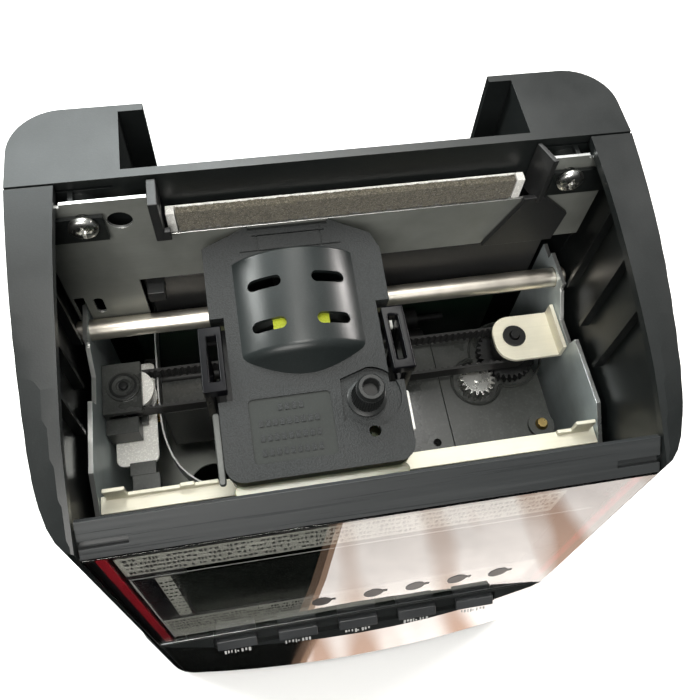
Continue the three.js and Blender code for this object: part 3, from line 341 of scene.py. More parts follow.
class Mesh:
    """Collects solids in millimetres before they become one piece."""

    def __init__(self):
        self.bm = bmesh.new()

    def add(self, points, faces):
        verts = [self.bm.verts.new(point) for point in points]
        for face in faces:
            self.bm.faces.new([verts[i] for i in face])

    def box(self, x, y, z):
        """A box between two values of x, of y and of z."""
        points = [(a, b, c) for a in x for b in y for c in z]
        self.add(points, [(0, 1, 3, 2), (4, 6, 7, 5), (0, 4, 5, 1),
                          (2, 3, 7, 6), (0, 2, 6, 4), (1, 5, 7, 3)])
        return self

    def prism(self, axis, outline, start, end):
        """An outline of [y, z], [x, z] or [x, y] points run along x, y or z."""
        turn = AXES[axis]
        count = len(outline)
        low = [turn @ Vector((a, b, start)) for a, b in outline]
        high = [turn @ Vector((a, b, end)) for a, b in outline]
        sides = [(i, (i + 1) % count, count + (i + 1) % count, count + i) for i in range(count)]
        self.add(low + high, [tuple(reversed(range(count))), tuple(range(count, 2 * count)), *sides])
        return self

    def lathe(self, profile, centre=(0, 0, 0), axis="z", segments=64):
        """A turned solid from (radius, height) points, standing along an axis."""
        turn = AXES[axis]
        rings = []
        for radius, height in profile:
            count = 1 if radius < 1e-6 else segments
            ring = []
            for i in range(count):
                angle = 2 * math.pi * i / segments
                spot = Vector((radius * math.cos(angle), radius * math.sin(angle), height))
                ring.append(self.bm.verts.new(Vector(centre) + turn @ spot))
            rings.append(ring)
        closed = profile[0][0] > 1e-6
        pairs = list(zip(rings, rings[1:] + rings[:1] if closed else rings[1:]))
        for below, above in pairs:
            for i in range(segments):
                j = (i + 1) % segments
                corners = [below[i % len(below)], below[j % len(below)],
                           above[j % len(above)], above[i % len(above)]]
                distinct = list(dict.fromkeys(corners))
                if len(distinct) > 2:
                    self.bm.faces.new(distinct)
        return self


def arc(centre, radius, start, end, steps):
    """Points on a circle, angles in turns."""
    made = []
    for i in range(steps + 1):
        angle = 2 * math.pi * (start + (end - start) * i / steps)
        made.append((centre[0] + radius * math.cos(angle), centre[1] + radius * math.sin(angle)))
    return made


def rounded(x, y, radius, steps=6):
    """A rectangle's outline with round corners."""
    return [
        *arc((x[1] - radius, y[1] - radius), radius, 0, 0.25, steps),
        *arc((x[0] + radius, y[1] - radius), radius, 0.25, 0.5, steps),
        *arc((x[0] + radius, y[0] + radius), radius, 0.5, 0.75, steps),
        *arc((x[1] - radius, y[0] + radius), radius, 0.75, 1, steps),
    ]


def loose_object(mesh):
    """A linked object in millimetres, with its faces turned outward."""
    bmesh.ops.recalc_face_normals(mesh.bm, faces=mesh.bm.faces)
    data = bpy.data.meshes.new("shape")
    mesh.bm.to_mesh(data)
    mesh.bm.free()
    made = bpy.data.objects.new("shape", data)
    bpy.context.scene.collection.objects.link(made)
    return made


def baked_mesh(obj):
    """The object's mesh with its modifiers applied."""
    graph = bpy.context.evaluated_depsgraph_get()
    return bpy.data.meshes.new_from_object(obj.evaluated_get(graph))


def apply_modifiers(obj):
    made = baked_mesh(obj)
    obj.modifiers.clear()
    obj.data = made


def carve(obj, *steps):
    """Boolean steps of (operation, mesh), applied one after another."""
    for operation, mesh in steps:
        tool = loose_object(mesh)
        modifier = obj.modifiers.new("carve", "BOOLEAN")
        modifier.operation = operation
        modifier.solver = "EXACT"
        modifier.object = tool
        apply_modifiers(obj)
        bpy.data.objects.remove(tool)


def flatten(data, degrees=0.8, weld=2e-6):
    """Welds a mesh and joins its coplanar triangles."""
    bm = bmesh.new()
    bm.from_mesh(data)
    bmesh.ops.remove_doubles(bm, verts=bm.verts, dist=weld)
    bmesh.ops.dissolve_limit(bm, angle_limit=math.radians(degrees), verts=bm.verts, edges=bm.edges)
    bm.to_mesh(data)
    bm.free()


def finish_piece(obj, name, slot, body, bevel=0.0, segments=2, limit=32, sharp=62, look=None):
    """Rounds the edges, smooths the normals, and gives the piece its name, material and body."""
    obj.name = name
    if bevel:
        edges = obj.modifiers.new("edges", "BEVEL")
        edges.width = bevel * MM
        edges.segments = segments
        edges.limit_method = "ANGLE"
        edges.angle_limit = math.radians(limit)
        edges.use_clamp_overlap = True
        edges.miter_outer = "MITER_ARC"
        apply_modifiers(obj)
    for polygon in obj.data.polygons:
        polygon.use_smooth = True
    obj.data.set_sharp_from_angle(angle=math.radians(sharp))
    weighted = obj.modifiers.new("normals", "WEIGHTED_NORMAL")
    weighted.keep_sharp = True
    weighted.weight = 60
    apply_modifiers(obj)
    obj.data.materials.clear()
    obj.data.materials.append(look or MATERIALS[slot])
    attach(obj, body)
    return obj


def piece(name, mesh, slot, body="root", space=TOP, **style):
    made = loose_object(mesh)
    made.data.transform(space)
    return finish_piece(made, name, slot, body, **style)


def refine(node, bevel=0.25, slot=None, cuts=(), **style):
    """A CAD node's own shape with joined faces, rounded edges and smooth normals."""
    data = frame["nodes"][node].data.copy()
    flatten(data)
    made = bpy.data.objects.new(node, data)
    bpy.context.scene.collection.objects.link(made)
    for cut in cuts:
        bmesh.ops.transform(cut.bm, matrix=TOP, verts=cut.bm.verts)
        carve(made, ("DIFFERENCE", cut))
    finish_piece(made, f"{node}_skin", slot or SLOT_OF[node], BODY_OF[node], bevel, **style)
    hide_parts(node)
    return made


def second_material(obj, material, chosen):
    """Gives the faces for which chosen(polygon) is true another material."""
    obj.data.materials.append(material)
    for polygon in obj.data.polygons:
        if chosen(polygon):
            polygon.material_index = len(obj.data.materials) - 1


def bright_edges(obj, axis):
    """Sheet metal shows bright steel where it is cut, on every face not square to its flat axis."""
    index = "xyz".index(axis)
    second_material(obj, CUT_EDGE, lambda polygon: abs(polygon.normal[index]) < 0.5)


# ---------------------------------------------------------------- camera, light and floor

CAMERA_PLACE = (-26.4, -127.1, 143.7)
LENS = 38.83


def make_camera():
    """The camera, above the front of the case and looking down and back."""
    data = bpy.data.cameras.new("camera")
    data.lens = LENS
    data.sensor_width = 36
    data.clip_start = 0.01
    made = bpy.data.objects.new("camera", data)
    bpy.context.scene.collection.objects.link(made)
    right = Vector((0.984, -0.1686, 0.0584)).normalized()
    ahead = Vector((0.1303, 0.4518, -0.8825)).normalized()
    up = right.cross(ahead)
    turn = Matrix((right, up, -ahead)).transposed()
    made.matrix_world = Matrix.Translation(TOP @ Vector(CAMERA_PLACE)) @ turn.to_4x4()
    bpy.context.scene.camera = made


def area_light(name, place, target, size, power, color):
    """A rectangular light at place that shines at target, both in the frame's metres."""
    data = bpy.data.lights.new(name, "AREA")
    data.shape = "RECTANGLE"
    data.size, data.size_y = size
    data.energy = power
    data.color = color
    made = bpy.data.objects.new(name, data)
    bpy.context.scene.collection.objects.link(made)
    made.location = place
    made.rotation_mode = "QUATERNION"
    made.rotation_quaternion = (Vector(target) - Vector(place)).to_track_quat("-Z", "Y")
    made.visible_camera = False


def make_world():
    """A soft dome: bright overhead, dimmer at the horizon, dark below it."""
    world = bpy.data.worlds.new("studio")
    world.use_nodes = True
    tree = world.node_tree
    direction = tree.nodes.new("ShaderNodeTexCoord").outputs["Generated"]
    split = tree.nodes.new("ShaderNodeSeparateXYZ")
    tree.links.new(direction, split.inputs[0])
    ramp = tree.nodes.new("ShaderNodeValToRGB")
    stops = [(0.44, 0.0), (0.5, 0.10), (0.75, 0.22), (1.0, 0.42)]
    lift = tree.nodes.new("ShaderNodeMapRange")
    lift.inputs["From Min"].default_value = -1
    tree.links.new(split.outputs["Z"], lift.inputs["Value"])
    tree.links.new(lift.outputs[0], ramp.inputs[0])
    while len(ramp.color_ramp.elements) < len(stops):
        ramp.color_ramp.elements.new(0.6)
    for element, (position, level) in zip(ramp.color_ramp.elements, stops):
        element.position = position
        element.color = (level * 0.97, level, level, 1)
    tree.links.new(ramp.outputs[0], tree.nodes["Background"].inputs["Color"])
    bpy.context.scene.world = world


def make_light():
    make_world()
    area_light("key", (-0.26, 0.72, 0.98), (0, 0, 0.15), (0.62, 0.45), 6.5, (0.93, 1.0, 1.0))
    area_light("side_right", (0.95, 0.42, 0.5), (0.05, 0, 0.17), (0.34, 0.3), 14, (1.0, 0.95, 0.92))
    area_light("side_left", (-0.85, 0.5, 0.75), (-0.05, 0, 0.17), (0.3, 0.3), 12, (0.97, 1.0, 0.97))
    area_light("front_fill", (-0.25, -0.75, 0.85), (0, 0, 0.12), (0.7, 0.5), 8, (1.0, 0.98, 0.94))
    area_light("overhead", (0.12, 0.55, 1.1), (0, 0, 0.13), (0.36, 0.3), 5.5, (1.0, 0.99, 0.95))
    area_light("bay_fill", (-0.03, -0.06, 1.0), (0, -0.02, 0.13), (0.25, 0.25), 3.6, (1.0, 0.98, 0.93))
    bpy.context.scene.view_settings.view_transform = "Standard"


def make_floor():
    """A pale floor. Glossy rays pass it and meet the cards beneath; clear parts don't show it either."""
    floor = loose_object(Mesh().prism("z", rounded((-2, 2), (-2, 2), 0.2), -0.01, -0.0002))
    floor.name = "floor"
    surface = Surface("pale_floor", 0.7)
    cloud = surface.noise(3, 2)
    surface.color(surface.blend(surface.ramp(cloud, 0, 1), (0.90, 0.90, 0.90), (0.93, 0.93, 0.93)))
    surface.relief((surface.noise(400, 2), 0.002))
    floor.data.materials.append(surface.material)
    floor.visible_glossy = False
    floor.visible_transmission = False


MIRROR_HEIGHT = -220


def mirror_card(name, outline, light, dark, strength):
    """A glowing card under the floor that only glossy rays see."""
    card = Mesh()
    card.add([(x, y, MIRROR_HEIGHT) for x, y in outline], [tuple(range(len(outline)))])
    made = loose_object(card)
    made.name = name
    made.data.transform(TOP)
    surface = Surface(name, 0.5)
    band = surface.noise(1, 2, 0.5, surface.stretched((24, 9, 9)))
    wash = surface.noise(1, 3, 0.6, surface.stretched((40, 60, 60)))
    warm = surface.blend(surface.ramp(wash, 0, 1), light, shade(light, 0.82))
    glow = surface.blend(surface.ramp(band, 0, 1, 0.5, 0.62), warm, dark)
    emission = surface.node("ShaderNodeEmission", Color=glow, Strength=strength)
    output = surface.tree.nodes["Material Output"]
    surface.tree.links.new(emission.outputs[0], output.inputs["Surface"])
    surface.material.cycles.emission_sampling = "NONE"
    made.data.materials.append(surface.material)
    for ray in ("camera", "diffuse", "transmission", "volume_scatter", "shadow"):
        setattr(made, f"visible_{ray}", False)


def make_mirror_cards():
    """What the window and the lower panel mirror: a bright warm field, and brown bands at its edge."""
    edge = [(-25, -86), (-19, -100), (-4.6, -124), (8, -150), (18, -185)]
    reach = [(x - 3, y) for x, y in edge]
    far = [(x - 7, y) for x, y in edge]
    mirror_card("mirror_field", [*edge, (190, -185), (190, -84)], (1.0, 0.92, 0.86), (0.50, 0.34, 0.26), 2.9)
    mirror_card("mirror_brown", [*reach, *reversed(edge)], (0.62, 0.40, 0.28), (0.42, 0.24, 0.15), 1.4)
    mirror_card("mirror_dim", [*far, *reversed(reach)], (0.30, 0.19, 0.13), (0.20, 0.12, 0.08), 0.9)


# ---------------------------------------------------------------- case

LOWER_PANEL_TOP = -149.5


def on_lower_panel(polygon):
    """The front below the key shelf, which is polished where the rest of the case is grained."""
    spot = TOP.inverted() @ polygon.center
    return spot.z < LOWER_PANEL_TOP and polygon.normal.y < -0.5


def case_pieces():
    case = refine("main_case", 0.5, segments=3, limit=11)
    second_material(case, GLOSSY_PANEL, on_lower_panel)
    refine("rear_case", 0.35, segments=3)
    refine("base_cover", 0.25)
    for number in range(1, 5):
        refine(f"foot_{number}", 0.5, segments=3)
    refine("front_bezel", 0.3, segments=3)


INLET_MIDDLE = (-46, -179)


def inlet_pins():
    """The power inlet at the back and the two pins inside it."""
    refine("power_inlet", 0.25)
    pins = Mesh()
    middle, height = INLET_MIDDLE
    for x in (middle - 3, middle + 3):
        pins.prism("y", rounded((x - 1, x + 1), (height - 2, height + 2), 0.6), 16.9, 21.6)
    piece("inlet_pins", pins, "screw_steel", bevel=0.25)


# ---------------------------------------------------------------- window

LEAN_START = -31
LEAN = 0.000615
MASK_FRONT = -78.6
WINDOW_FRONT = -82
LABEL_LEFT = -64.4
LABEL_LOW = (-138, -112)
GLASS_HEIGHTS = (-108, -61)
OVAL_PLACES = (-13.5, 3.7, 17.8, 32.1, 46.4)
OVAL_HEIGHT = -112.5
OVAL_RADIUS = 3.2
OVAL_STRETCH = 1.6


def leaned(x, y, z):
    """A point on a plane that leans out with depth as the front face does."""
    return (x, y * (1 + LEAN * (LEAN_START - z)), z)


def film(mesh, outline, layer=1, plane=MASK_FRONT):
    """A thin printed film in front of the mask or the pane, from an outline of (x, z) points."""
    lift = 0.06 * layer
    front = [leaned(x, plane - lift - 0.05, z) for x, z in outline]
    back = [leaned(x, plane - lift + 0.01, z) for x, z in outline]
    count = len(outline)
    sides = [(i, (i + 1) % count, count + (i + 1) % count, count + i) for i in range(count)]
    mesh.add(front + back, [tuple(range(count)), tuple(reversed(range(count, 2 * count))), *sides])


def bar(x, z):
    return [(x[0], z[0]), (x[1], z[0]), (x[1], z[1]), (x[0], z[1])]


def print_rows(mesh, rows, seed, layer=3):
    """Rows of small ticks that stand for print, with no letters in them."""
    dice = random.Random(seed)
    for left, right, low, high in rows:
        x = left
        while x < right:
            width = dice.uniform(0.35, 1.15)
            base = low + dice.uniform(0, 0.45) * (high - low)
            top = high - dice.uniform(0, 0.35) * (high - low)
            if dice.random() < 0.86:
                middle = (base + top) / 2
                film(mesh, bar((x, x + width), (middle - 0.35, middle + 0.4)), layer)
                for _ in range(2):
                    stem = x + dice.uniform(0, width - 0.25)
                    film(mesh, bar((stem, stem + 0.28), (base, top)), layer)
            x += width + dice.uniform(0.25, 0.7)


def window_pieces():
    """The clear window, the mask and display behind it, and its two trims."""
    pane = refine("display_window", 0.3, segments=3)
    pane.visible_shadow = False
    refine("display_mask", 0.1)
    refine("lcd_module", 0.2)
    refine("display_board", 0.1)
    for side in ("left", "right"):
        refine(f"window_trim_{side}", 0.1)


def window_films():
    """The printed labels, the display's dark glass and the white lines at their edges."""
    strip = Mesh()
    film(strip, bar((LABEL_LEFT, 49), (-55.6, -40.2)))
    film(strip, bar((-58.2, -54.2), (-107.5, -61)))
    piece("label_top", strip, "label_light")
    block = Mesh()
    film(block, bar((LABEL_LEFT, 61), LABEL_LOW))
    piece("label_low", block, "label_light")
    glass = Mesh()
    film(glass, bar((-53.4, 53.4), GLASS_HEIGHTS), 2)
    piece("display_glass", glass, "lcd_grey")
    line = Mesh()
    film(line, bar((LABEL_LEFT, 62), (-59.2, -58.7)), 3)
    film(line, bar((LABEL_LEFT, LABEL_LEFT + 0.5), (LABEL_LOW[0], -60)), 3)
    film(line, bar((LABEL_LEFT, 61), (-111.4, -110.9)), 3)
    piece("border_line", line, "print_white")


def window_print():
    """Ticks for the print on the labels, and the ovals on the window's own front."""
    ink = Mesh()
    for top in (-41.2, -44.6, -48.0, -51.6):
        print_rows(ink, [(-63, 47.5, top - 2.5, top)], 11 - round(top))
    for top in (-113.2, -116.8, -120.4, -124.0):
        print_rows(ink, [(-63, 44, top - 2.4, top)], 60 - round(top), 4)
    print_rows(ink, [(-57.9, -54.6, -107 + 4 * i, -105.4 + 4 * i) for i in range(11)], 5)
    piece("label_ink", ink, "mask_black")
    ovals = Mesh()
    for x in OVAL_PLACES:
        ring = arc((x, OVAL_HEIGHT), OVAL_RADIUS, 0, 0.97, 28)
        oval = [(a, OVAL_HEIGHT + OVAL_STRETCH * (b - OVAL_HEIGHT)) for a, b in ring]
        film(ovals, oval, 1, WINDOW_FRONT)
        film(ovals, bar((x + 2.8, x + 4.6), (OVAL_HEIGHT + 0.1, OVAL_HEIGHT + 2.1)), 1, WINDOW_FRONT)
    piece("window_ovals", ovals, "rubber_black")


# ---------------------------------------------------------------- keys

KEY_PITCH = 21.8


def key_pieces():
    """The mode keys and their board, with a row of printed ticks and a dot for each key."""
    marks = Mesh()
    dice = random.Random(7)
    for number in range(1, 6):
        refine(f"mode_key_{number}", 0.45, segments=3)
        x = (number - 3) * KEY_PITCH
        for i in range(8):
            left = x - 4.9 + i * 1.2 + dice.uniform(-0.1, 0.15)
            low = dice.uniform(-8.6, -7.9)
            if i != 4:
                right = left + dice.uniform(0.4, 0.9)
                marks.prism("z", rounded((left, right), (low, -7.0), 0.15, 3), -0.01, 0.05)
        marks.prism("z", rounded((x - 0.5, x + 0.2), (-8.1, -7.5), 0.25), -0.01, 0.05)
    piece("key_marks", marks, "print_white", space=SHELF)
    refine("key_board", 0.1)


# ---------------------------------------------------------------- chassis and card guide

PLATE_SCREW_OUT = 62.8
PLATE_SCREW_HEIGHT = -9


def plate_screws():
    """Pan-head screws with a cross recess."""
    height = PLATE_SCREW_HEIGHT
    for side, x in (("left", -PLATE_SCREW_OUT), ("right", PLATE_SCREW_OUT)):
        place = (x, 0, height)
        head = [(0, 0.6), (1.8, 0.6), (1.8, -6.3), (3.6, -6.3), (3.6, -7.0), (3.45, -7.4), (3.1, -7.72),
                (2.5, -7.98), (1.8, -8.15), (0, -8.3)]
        screw = loose_object(Mesh().lathe(head, place, "y", 64))
        arms = [Mesh().box((x - a, x + a), (-9, -7.0), (height - b, height + b))
                for a, b in ((2.0, 0.36), (0.36, 2.0))]
        cone = Mesh().lathe([(0, -6.6), (0.95, -7.6), (0.95, -9), (0, -9)], place, "y", 24)
        carve(screw, *(("DIFFERENCE", mesh) for mesh in (*arms, cone)))
        screw.data.transform(TOP)
        finish_piece(screw, f"plate_screw_{side}_cross", "screw_steel", "root", 0.06, sharp=40)
        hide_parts(f"plate_screw_{side}")


def sheet_pieces():
    """The chassis and its screws, the card guides, and the rail, holder and plates round them."""
    for side in ("left", "right"):
        bright_edges(refine(f"chassis_{side}", 0.12, look=BLUE_STEEL), "x")
        refine(f"card_guide_{side}", 0.25)
    plate_screws()
    bright_edges(refine("card_plate", 0.12), "y")
    refine("chassis_floor", 0.12)
    refine("front_rail", 0.3, segments=3)
    refine("lower_guide", 0.25)
    refine("felt_holder", 0.2)
    refine("side_plate", 0.25)


def felt_piece():
    """The felt strip, its faces roughened by raised fibres."""
    low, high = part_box("felt_strip")
    strip = Mesh().box((low.x, high.x), (low.y, high.y), (low.z, high.z))
    made = loose_object(strip)
    bm = bmesh.new()
    bm.from_mesh(made.data)
    lengthwise = [edge for edge in bm.edges if abs(edge.verts[0].co.x - edge.verts[1].co.x) > 0.01]
    bmesh.ops.subdivide_edges(bm, edges=lengthwise, cuts=220, use_grid_fill=True)
    others = [edge for edge in bm.edges if abs(edge.verts[0].co.x - edge.verts[1].co.x) < 1e-6]
    bmesh.ops.subdivide_edges(bm, edges=others, cuts=5, use_grid_fill=True)
    middle = (low + high) / 2
    for vert in bm.verts:
        rough = noise.noise(vert.co * 1900) * 0.16 + noise.noise(vert.co * 600) * 0.12 - 0.14
        for axis in (1, 2):
            away = 1 if vert.co[axis] > middle[axis] else -1
            if abs(vert.co[axis] - (high if away > 0 else low)[axis]) < 1e-6:
                vert.co[axis] += away * rough * MM
    bm.to_mesh(made.data)
    bm.free()
    finish_piece(made, "felt_strip_pile", "felt_brown", "root")
    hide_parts("felt_strip")


# ---------------------------------------------------------------- carriage

def carriage_pieces():
    """The shaft, a bar chamfered at both ends, with the carriage, print head and cassette clips."""
    low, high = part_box("carriage_shaft")
    bar_low, bar_high = (low - DATUM).x / MM, (high - DATUM).x / MM
    shaft = Mesh()
    shaft.lathe([(0, bar_low), (2.6, bar_low), (3.1, bar_low + 0.5), (3.1, bar_high - 0.5),
                 (2.6, bar_high), (0, bar_high)], (0, *SHAFT), "x", 96)
    made = piece("carriage_shaft_bar", shaft, "shaft_steel")
    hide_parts("carriage_shaft")
    refine("carriage", 0.35, segments=3)
    refine("print_head", 0.25)
    for side in ("left", "right"):
        refine(f"cassette_clip_{side}", 0.55, segments=3)


# ---------------------------------------------------------------- ribbon cassette

CASSETTE_SIDES = (-35.6, 10.4)
CASSETTE_REAR = -5.4
CASSETTE_FRONT = -66.4
NOTCH = (-24.8, -46.4, 3.6)
HUMP_RADIUS = 21.7
HUMP_AXIS = -15.2
RECESS_X = (-28.6, -8.4)             # the label's recess in the cover
RECESS_Y = (-62.6, -46.7)
RECESS_DEPTH = 0.35
COVER_WALL = 1.4
RIB_PITCH = 1.35
MARK_PITCH = 1.7


def cassette_outline(inset):
    """The cassette's plan: a nose at the back, a notch on each side, rounded front corners."""
    left, right = CASSETTE_SIDES[0] + inset, CASSETTE_SIDES[1] - inset
    corner = 4.5
    rear_notch, front_notch, depth = NOTCH[0] + inset, NOTCH[1] - inset, NOTCH[2]
    low = CASSETTE_FRONT + inset + corner
    return [
        (-23.2 + inset / 2, -inset), (left, CASSETTE_REAR - inset), (left, rear_notch),
        (left + depth, rear_notch), (left + depth, front_notch), (left, front_notch),
        *arc((left + corner, low), corner, 0.5, 0.75, 8),
        *arc((right - corner, low), corner, 0.75, 1, 8),
        (right, front_notch), (right - depth, front_notch), (right - depth, rear_notch),
        (right, rear_notch), (right, -10 - inset), (right - 2, CASSETTE_REAR - inset),
        (-2.5 - inset / 2, -inset),
    ]


def hump_profile(shrink):
    """The hump's half section along its axis, moved inward by shrink."""
    radius = HUMP_RADIUS - shrink
    front = -36.8 + shrink / 2
    return [(0, -10.1 - shrink), (radius - 0.6, -10.1 - shrink), (radius, -10.7 - shrink),
            (radius, front + 1.6), (radius - 0.15, front + 0.7), (radius - 0.6, front - 0.1),
            (radius - 1.3, front - 0.8), (-HUMP_AXIS - shrink, -41.8 + shrink), (0, -41.8 + shrink)]


def hump_mesh(shrink, floor):
    """The part of the drum-shaped hump that stands above floor."""
    drum = Mesh().lathe(hump_profile(shrink), (HEAD_X, 0, HUMP_AXIS), "y", 192)
    above = bmesh.ops.bisect_plane(drum.bm, geom=drum.bm.verts[:] + drum.bm.edges[:] + drum.bm.faces[:],
                                   plane_co=(0, 0, floor), plane_no=(0, 0, -1), clear_outer=True)
    rim = [item for item in above["geom_cut"] if isinstance(item, bmesh.types.BMEdge)]
    bmesh.ops.contextual_create(drum.bm, geom=rim)
    return drum


def slot_meshes():
    """The four rounded slots that run through the top of the hump."""
    for x in (HEAD_X - 8, HEAD_X + 8):
        for y in (-18.7, -29.8):
            yield Mesh().prism("z", rounded((x - 4.2, x + 4.2), (y - 1.5, y + 1.5), 1.45, 8), 0.5, 12)


def knob_recess():
    """The outline of the shallow recess that the winding knob stands in."""
    return [*arc((KNOB[0] + 1, KNOB[1]), 7.6, -0.4, 0.25, 24),
            (KNOB[0] - 6, KNOB[1] + 5.4), (KNOB[0] - 6.6, KNOB[1] - 5.4)]


def drill(radius, x, y, segments=64):
    """A cylinder that cuts a round hole down through the cover."""
    return Mesh().lathe([(0, -5), (radius, -5), (radius, 5), (0, 5)], (x, y, 0), "z", segments)


def cover_cuts():
    """What is cut from the cover: its inside, openings, recesses and grooves, and its back, cut upright."""
    yield Mesh().prism("z", cassette_outline(COVER_WALL), -6, -1.5)
    yield hump_mesh(COVER_WALL, -3)
    yield from slot_meshes()
    yield Mesh().prism("z", knob_recess(), -1.1, 3)
    yield drill(3.8, *KNOB)
    yield drill(1.5, KNOB[0] + 0.6, KNOB[1] - 8.6, 40)
    yield Mesh().prism("z", rounded(RECESS_X, RECESS_Y, 1.2), -RECESS_DEPTH, 3)
    yield Mesh().box((-26, 0.4), (-7.6, -7.2), (-0.3, 3))
    yield Mesh().box((-22.4, -3.4), (-3.2, -2.9), (-1.6, 3))
    yield Mesh().box((-21.4, -21.0), (-7.3, 1), (-0.4, 3))
    yield Mesh().box((-4.8, -4.4), (-7.3, 1), (-0.4, 3))
    yield Mesh().prism("x", [(-1.8, 0.4), (0.4, -1.8), (0.4, 0.4)], -23.4, -2.3)
    lean = math.tan(CASSETTE_TILT)
    yield Mesh().prism("x", [(0.2 + lean, 1), (3, 1), (3, -12), (0.2 - 12 * lean, -12)], -60, 40)


def cassette_cover():
    """The grained cover with its satin hump and the label's recess."""
    cover = loose_object(Mesh().prism("z", cassette_outline(0), -5.5, 0))
    carve(cover, ("UNION", hump_mesh(0, -0.5)), *(("DIFFERENCE", mesh) for mesh in cover_cuts()))
    flatten(cover.data, 0.5, 1e-4)
    cover.data.transform(CASSETTE)
    finish_piece(cover, "cassette_cover_skin", "cassette_grey", "cassette", 0.3, segments=3)
    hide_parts("cassette_cover")
    back = CASSETTE.inverted()

    def on_hump(polygon):
        spot = back @ polygon.center
        return spot.z > 0.3 or (math.hypot(spot.x - HEAD_X, spot.z - HUMP_AXIS) < HUMP_RADIUS + 0.1
                                and -41.6 < spot.y < -10 and spot.z > 0.05)

    def in_label(polygon):
        spot = back @ polygon.center
        inside = RECESS_X[0] < spot.x < RECESS_X[1] and RECESS_Y[0] < spot.y < RECESS_Y[1]
        return inside and -0.5 < spot.z < -0.3

    second_material(cover, SATIN_COVER, on_hump)
    second_material(cover, LABEL_RECESS, in_label)


def cassette_front():
    """The ribbed gate under the front edge, and the half-clear lip above it."""
    ribs = Mesh().box((-4.4, 8.2), (-67.6, -67.1), (-10.4, -6.1))
    for i in range(9):
        left = -3.9 + i * RIB_PITCH
        ribs.box((left, left + 0.6), (-67.95, -67.5), (-10.2, -6.3))
    piece("ribbon_gate", ribs, "knob_black", "cassette", CASSETTE, bevel=0.1)
    lip = Mesh().prism("z", rounded((-34.2, 9.0), (-69.2, -66.0), 1.5), -7.4, -5.8)
    piece("cassette_lip", lip, "cassette_olive", "cassette", CASSETTE, bevel=0.25, segments=3)


def cassette_marks():
    """Four rows of raised marks in the label's recess."""
    marks = Mesh()
    for row, (left, right) in enumerate(((-21.5, -15.5), (-26.5, -12), (-26.5, -10.5), (-26.5, -10.5))):
        top = -48.4 - row * 3.6
        for i in range(round((right - left) / MARK_PITCH)):
            start = left + i * MARK_PITCH
            marks.prism("z", rounded((start, start + 1.1), (top - 1.7, top), 0.25, 3), -0.4, -0.12)
    piece("cassette_marks", marks, "cassette_grey", "cassette", CASSETTE)


def cassette_sides():
    """The ledge on the cassette's left side and the two pale strips on its right."""
    ledge = Mesh()
    ledge.prism("z", rounded((-37.6, -35.9), (-65.5, -47.6), 0.7), -7.2, -5.0)
    piece("cassette_ledge", ledge, "nylon_grey", "cassette", CASSETTE, bevel=0.3)
    strips = Mesh()
    strips.prism("z", rounded((10.7, 12.0), (-58.5, -48.2), 0.5), -6.4, -4.8)
    strips.prism("z", rounded((10.7, 11.5), (-30.4, -25.6), 0.3), -8.4, -6.8)
    piece("cassette_side_strips", strips, "white_plastic", "cassette", CASSETTE, bevel=0.25)


def head_foil():
    """A curved strip of green foil under the hump, over the print head."""
    foil = Mesh()
    span = [0.25 + (i - 8) * 0.0075 for i in range(17)]
    outer = [arc((HEAD_X, HUMP_AXIS), 19.2, turn, turn, 1)[0] for turn in span]
    inner = [arc((HEAD_X, HUMP_AXIS), 18.9, turn, turn, 1)[0] for turn in reversed(span)]
    foil.prism("y", outer + inner, -32.2, -27.6)
    piece("head_foil", foil, "print_green", "carriage", CASSETTE)


def cassette_pieces():
    cassette_cover()
    refine("cassette_base", 0.25)
    cassette_front()
    cassette_marks()
    cassette_sides()
    head_foil()


def ribbon_knob():
    """The winding knob: knurled barrel, smooth top ring and flange."""
    knob = Mesh()
    knob.lathe([(0, -3.4), (1.7, -3.4), (1.7, -8.8), (3.7, -8.8), (3.7, -2.2), (3.2, -2.2), (3.2, -0.9),
                (4.9, -0.9), (4.9, -0.4), (4.6, -0.2), (3.85, 0), (3.35, 6.6), (3.5, 6.8), (3.5, 7.1),
                (3.3, 7.3), (3.2, 8.9), (2.95, 9.2), (2.2, 9.2), (2.0, 9.0), (1.9, 5.5), (0, 5.5)],
               (*KNOB, 0), "z", 72)
    teeth = 36
    for i in range(teeth):
        turn = Matrix.Translation((*KNOB, 0)) @ Matrix.Rotation(2 * math.pi * i / teeth, 4, "Z")
        low = [turn @ Vector((x, y, 0.1)) for x, y in ((3.7, -0.17), (4.1, 0), (3.7, 0.17))]
        high = [turn @ Vector((x, y, 6.5)) for x, y in ((3.2, -0.15), (3.6, 0), (3.2, 0.15))]
        knob.add(low + high, [(2, 1, 0), (3, 4, 5), (0, 1, 4, 3), (1, 2, 5, 4), (2, 0, 3, 5)])
    made = piece("ribbon_knob_knurled", knob, "knob_black", "ribbon_knob", CASSETTE, sharp=40)
    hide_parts("ribbon_knob")


# ---------------------------------------------------------------- belt drive

BELT_PITCH = 2.032
BELT_HALF_WIDTH = 2.35
RIM_FOOT = -78.6


def belt_point(distance):
    """(x, y) and outward direction at a distance along the belt's pitch line."""
    run = DRIVE_X - IDLER_X
    turn = math.pi * BELT_RADIUS
    if distance < run:
        return (IDLER_X + distance, BELT_Y - BELT_RADIUS), (0, -1)
    distance -= run
    if distance < turn:
        angle = -math.pi / 2 + distance / BELT_RADIUS
        centre = DRIVE_X
    elif distance < turn + run:
        distance -= turn
        return (DRIVE_X - distance, BELT_Y + BELT_RADIUS), (0, 1)
    else:
        angle = math.pi / 2 + (distance - turn - run) / BELT_RADIUS
        centre = IDLER_X
    out = (math.cos(angle), math.sin(angle))
    return (centre + BELT_RADIUS * out[0], BELT_Y + BELT_RADIUS * out[1]), out


